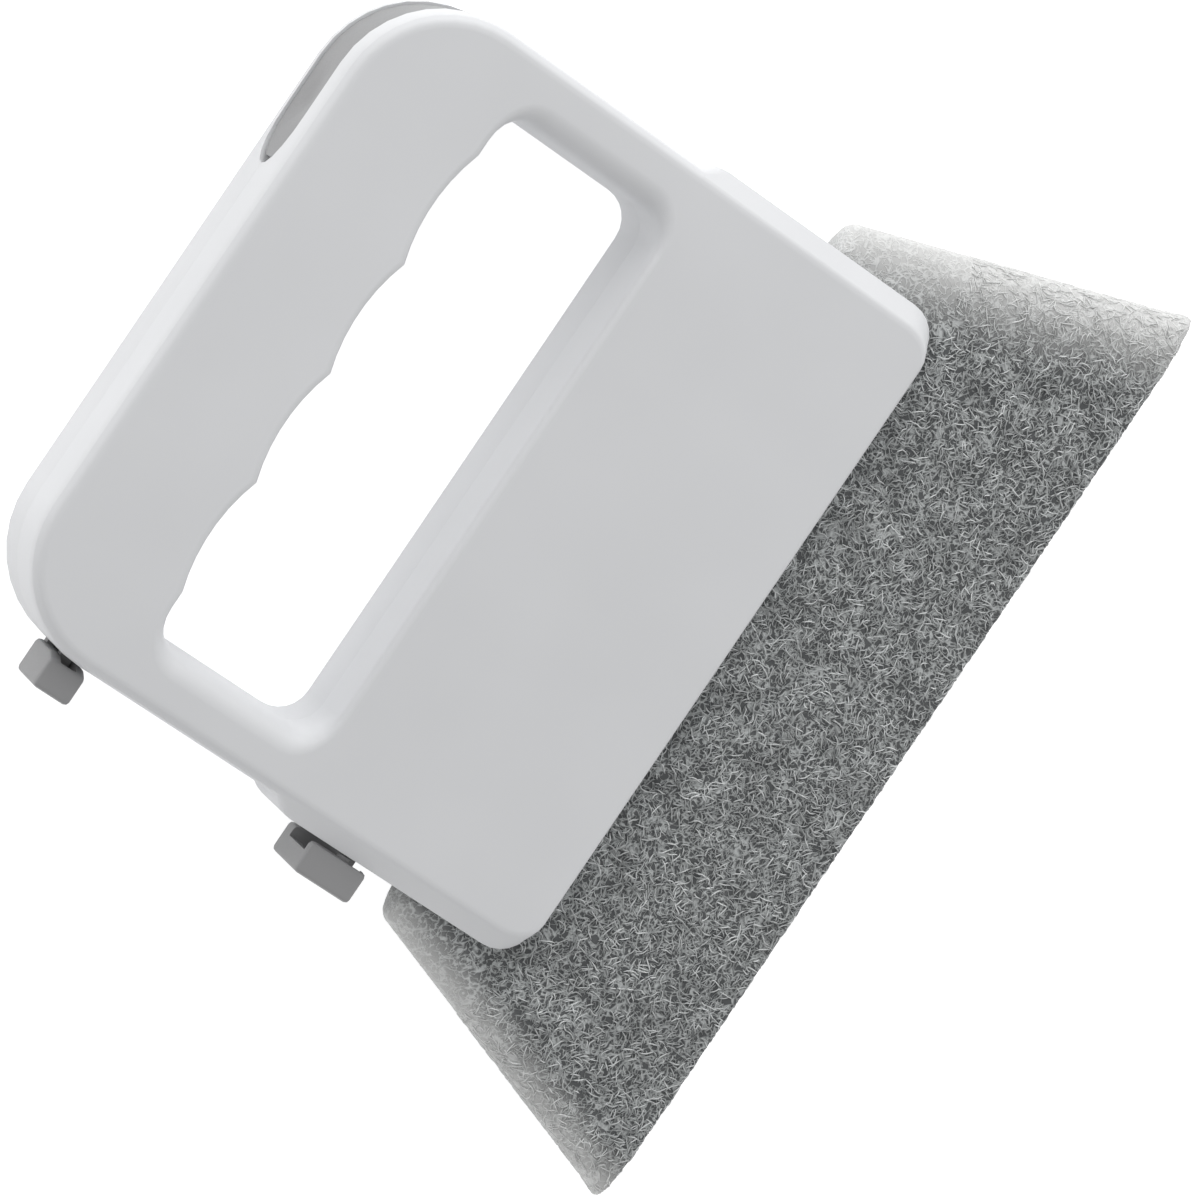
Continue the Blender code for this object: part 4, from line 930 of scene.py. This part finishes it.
def walk(rng, start):
    """Points of one fibre, the skin's normals there, and the fibre's height."""
    lift = rng.uniform(*FIBRE_LIFT_MM) * MM
    step = rng.uniform(*FIBRE_STEP_MM) * MM
    if rng.random() < LAID_SHARE:
        heading = rng.choice(LAID_DIRECTIONS) + rng.normal(0, LAID_SPREAD)
    else:
        heading = rng.uniform(0, math.pi)
    sense = 1 if rng.random() < 0.5 else -1
    tangent = Vector((math.cos(heading), math.sin(heading), 0)) * sense
    curl = rng.normal(0, FIRST_TURN)
    point = Vector(start)
    points = []
    normals = []
    for i in range(FIBRE_POINTS):
        hit, normal, _, _ = skin.find_nearest(point)
        height = lift + WAVE_HEIGHT * math.sin(WAVE_A_STEP * i)
        points.append(hit + normal * abs(normal.z) * height)
        normals.append(normal)
        if point.y > SHELL_EDGE and tangent.y > 0:
            tangent.y = -tangent.y
        tangent = (tangent - normal * tangent.dot(normal)).normalized()
        curl = TURN_KEPT * curl + rng.normal(0, NEW_TURN)
        tangent.rotate(Matrix.Rotation(curl, 3, normal))
        point = hit + tangent * step
    return points, normals, lift


print("fibres of", FIBRE_POINTS, "points, in steps of", FIBRE_STEP_MM, "mm")

# %% [markdown]
# A tube of three sides follows each walk. The tubes are built with arrays, all at once, because
# thousands of curve objects would be slow. Each ring has three corners round its point, closer at
# both ends of the fibre. The first half of the work turns walks into rings of corners.

# %% Rings round the walks
TUBE_SIDES = 3
FIBRE_RADIUS = 0.11 * MM
THIN_END = 0.4


def unit(vectors):
    return vectors / np.linalg.norm(vectors, axis=2, keepdims=True)


def fibre_rings(points, normals):
    """The corners of all tubes, as an array of fibre, ring, corner and coordinate."""
    forward = np.gradient(points, axis=1)
    sideways = unit(np.cross(forward, normals))
    upward = unit(np.cross(sideways, forward))
    radius = np.full(FIBRE_POINTS, FIBRE_RADIUS)
    radius[[0, -1]] *= THIN_END
    corners = []
    for degrees in (90, 210, 330):
        across = math.cos(math.radians(degrees))
        up = math.sin(math.radians(degrees))
        corners.append(points + (across * sideways + up * upward) * radius[None, :, None])
    return np.stack(corners, axis=2)


print("fibres", round(2 * FIBRE_RADIUS / MM, 2), "mm thick")

# %% [markdown]
# The second half joins the rings with four-cornered faces and closes both ends of each tube with a
# triangle. A face only lists the numbers of its corners, so one fibre's numbers are counted once and
# shifted for all the others.

# %% Faces of the tubes
def fibre_faces(count):
    """The quads along all tubes and the triangles at their ends."""
    corners_each = FIBRE_POINTS * TUBE_SIDES
    firsts = np.arange(count) * corners_each
    ring = firsts[:, None, None] + np.arange(FIBRE_POINTS - 1)[None, :, None] * TUBE_SIDES
    here = ring + np.arange(TUBE_SIDES)
    after = ring + (np.arange(TUBE_SIDES) + 1) % TUBE_SIDES
    quads = np.stack((here, after, after + TUBE_SIDES, here + TUBE_SIDES), axis=-1).reshape(-1, 4)
    start_caps = firsts[:, None] + np.arange(TUBE_SIDES)[::-1]
    end_caps = firsts[:, None] + corners_each - TUBE_SIDES + np.arange(TUBE_SIDES)
    return quads.tolist() + start_caps.tolist() + end_caps.tolist()


print("one fibre has", len(fibre_faces(1)), "faces")

# %% [markdown]
# Now the pad's two sides get their fibres. The random numbers start from a fixed seed, so the same
# fibres grow each time. On top of its own random grey, one that lies higher on the web is painted
# paler and one that lies lower darker, as painted light and shade; this is kept at its points.

# %% Fibres on both sides
FIBRES_A_SIDE = 7400
# Painted light and shade: fibres that lie higher are painted paler, lower ones darker.
PAINTED_LIGHT_BY_HEIGHT = 0.6
TINT_MEAN = 0.15
TINT_SPREAD = 0.18


def lay_fibres(name, count, seed, wanted):
    rng = np.random.default_rng(seed)
    chance = areas * np.array([wanted(centre) for centre in centres])
    starts = rng.choice(len(centres), count, p=chance / chance.sum())
    walks = [walk(rng, centres[start]) for start in starts]
    points, normals, lifts = (np.array(values) for values in zip(*walks))
    made = bpy.data.meshes.new(name)
    made.from_pydata(fibre_rings(points, normals).reshape(-1, 3).tolist(), [], fibre_faces(count))
    height_share = lifts / (FIBRE_LIFT_MM[1] * MM)
    # A fibre's tint is its own random grey plus painted light and shade by its height.
    tints_and_shade = height_share * PAINTED_LIGHT_BY_HEIGHT + rng.normal(TINT_MEAN, TINT_SPREAD, count)
    tints_and_shade = np.repeat(np.clip(tints_and_shade, 0, 1), FIBRE_POINTS * TUBE_SIDES)
    made.attributes.new("tint_and_shade", "FLOAT", "POINT").data.foreach_set("value", tints_and_shade)
    made.materials.append(top_fibre)
    made.shade_smooth()
    piece = bpy.data.objects.new(name, made)
    bpy.context.scene.collection.objects.link(piece)
    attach(piece, "rear_half")
    print(name, len(made.polygons), "faces")


lay_fibres("front_fibres", FIBRES_A_SIDE, 11, lambda c: c[1] < SHELL_EDGE and c[2] > PARTING)
lay_fibres("back_fibres", FIBRES_A_SIDE, 12, lambda c: c[1] < SHELL_EDGE and c[2] <= PARTING)

# %% [markdown]
# The last cell measures the bounds of the dressed brush.

# %% Size of the dressed brush
low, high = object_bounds()
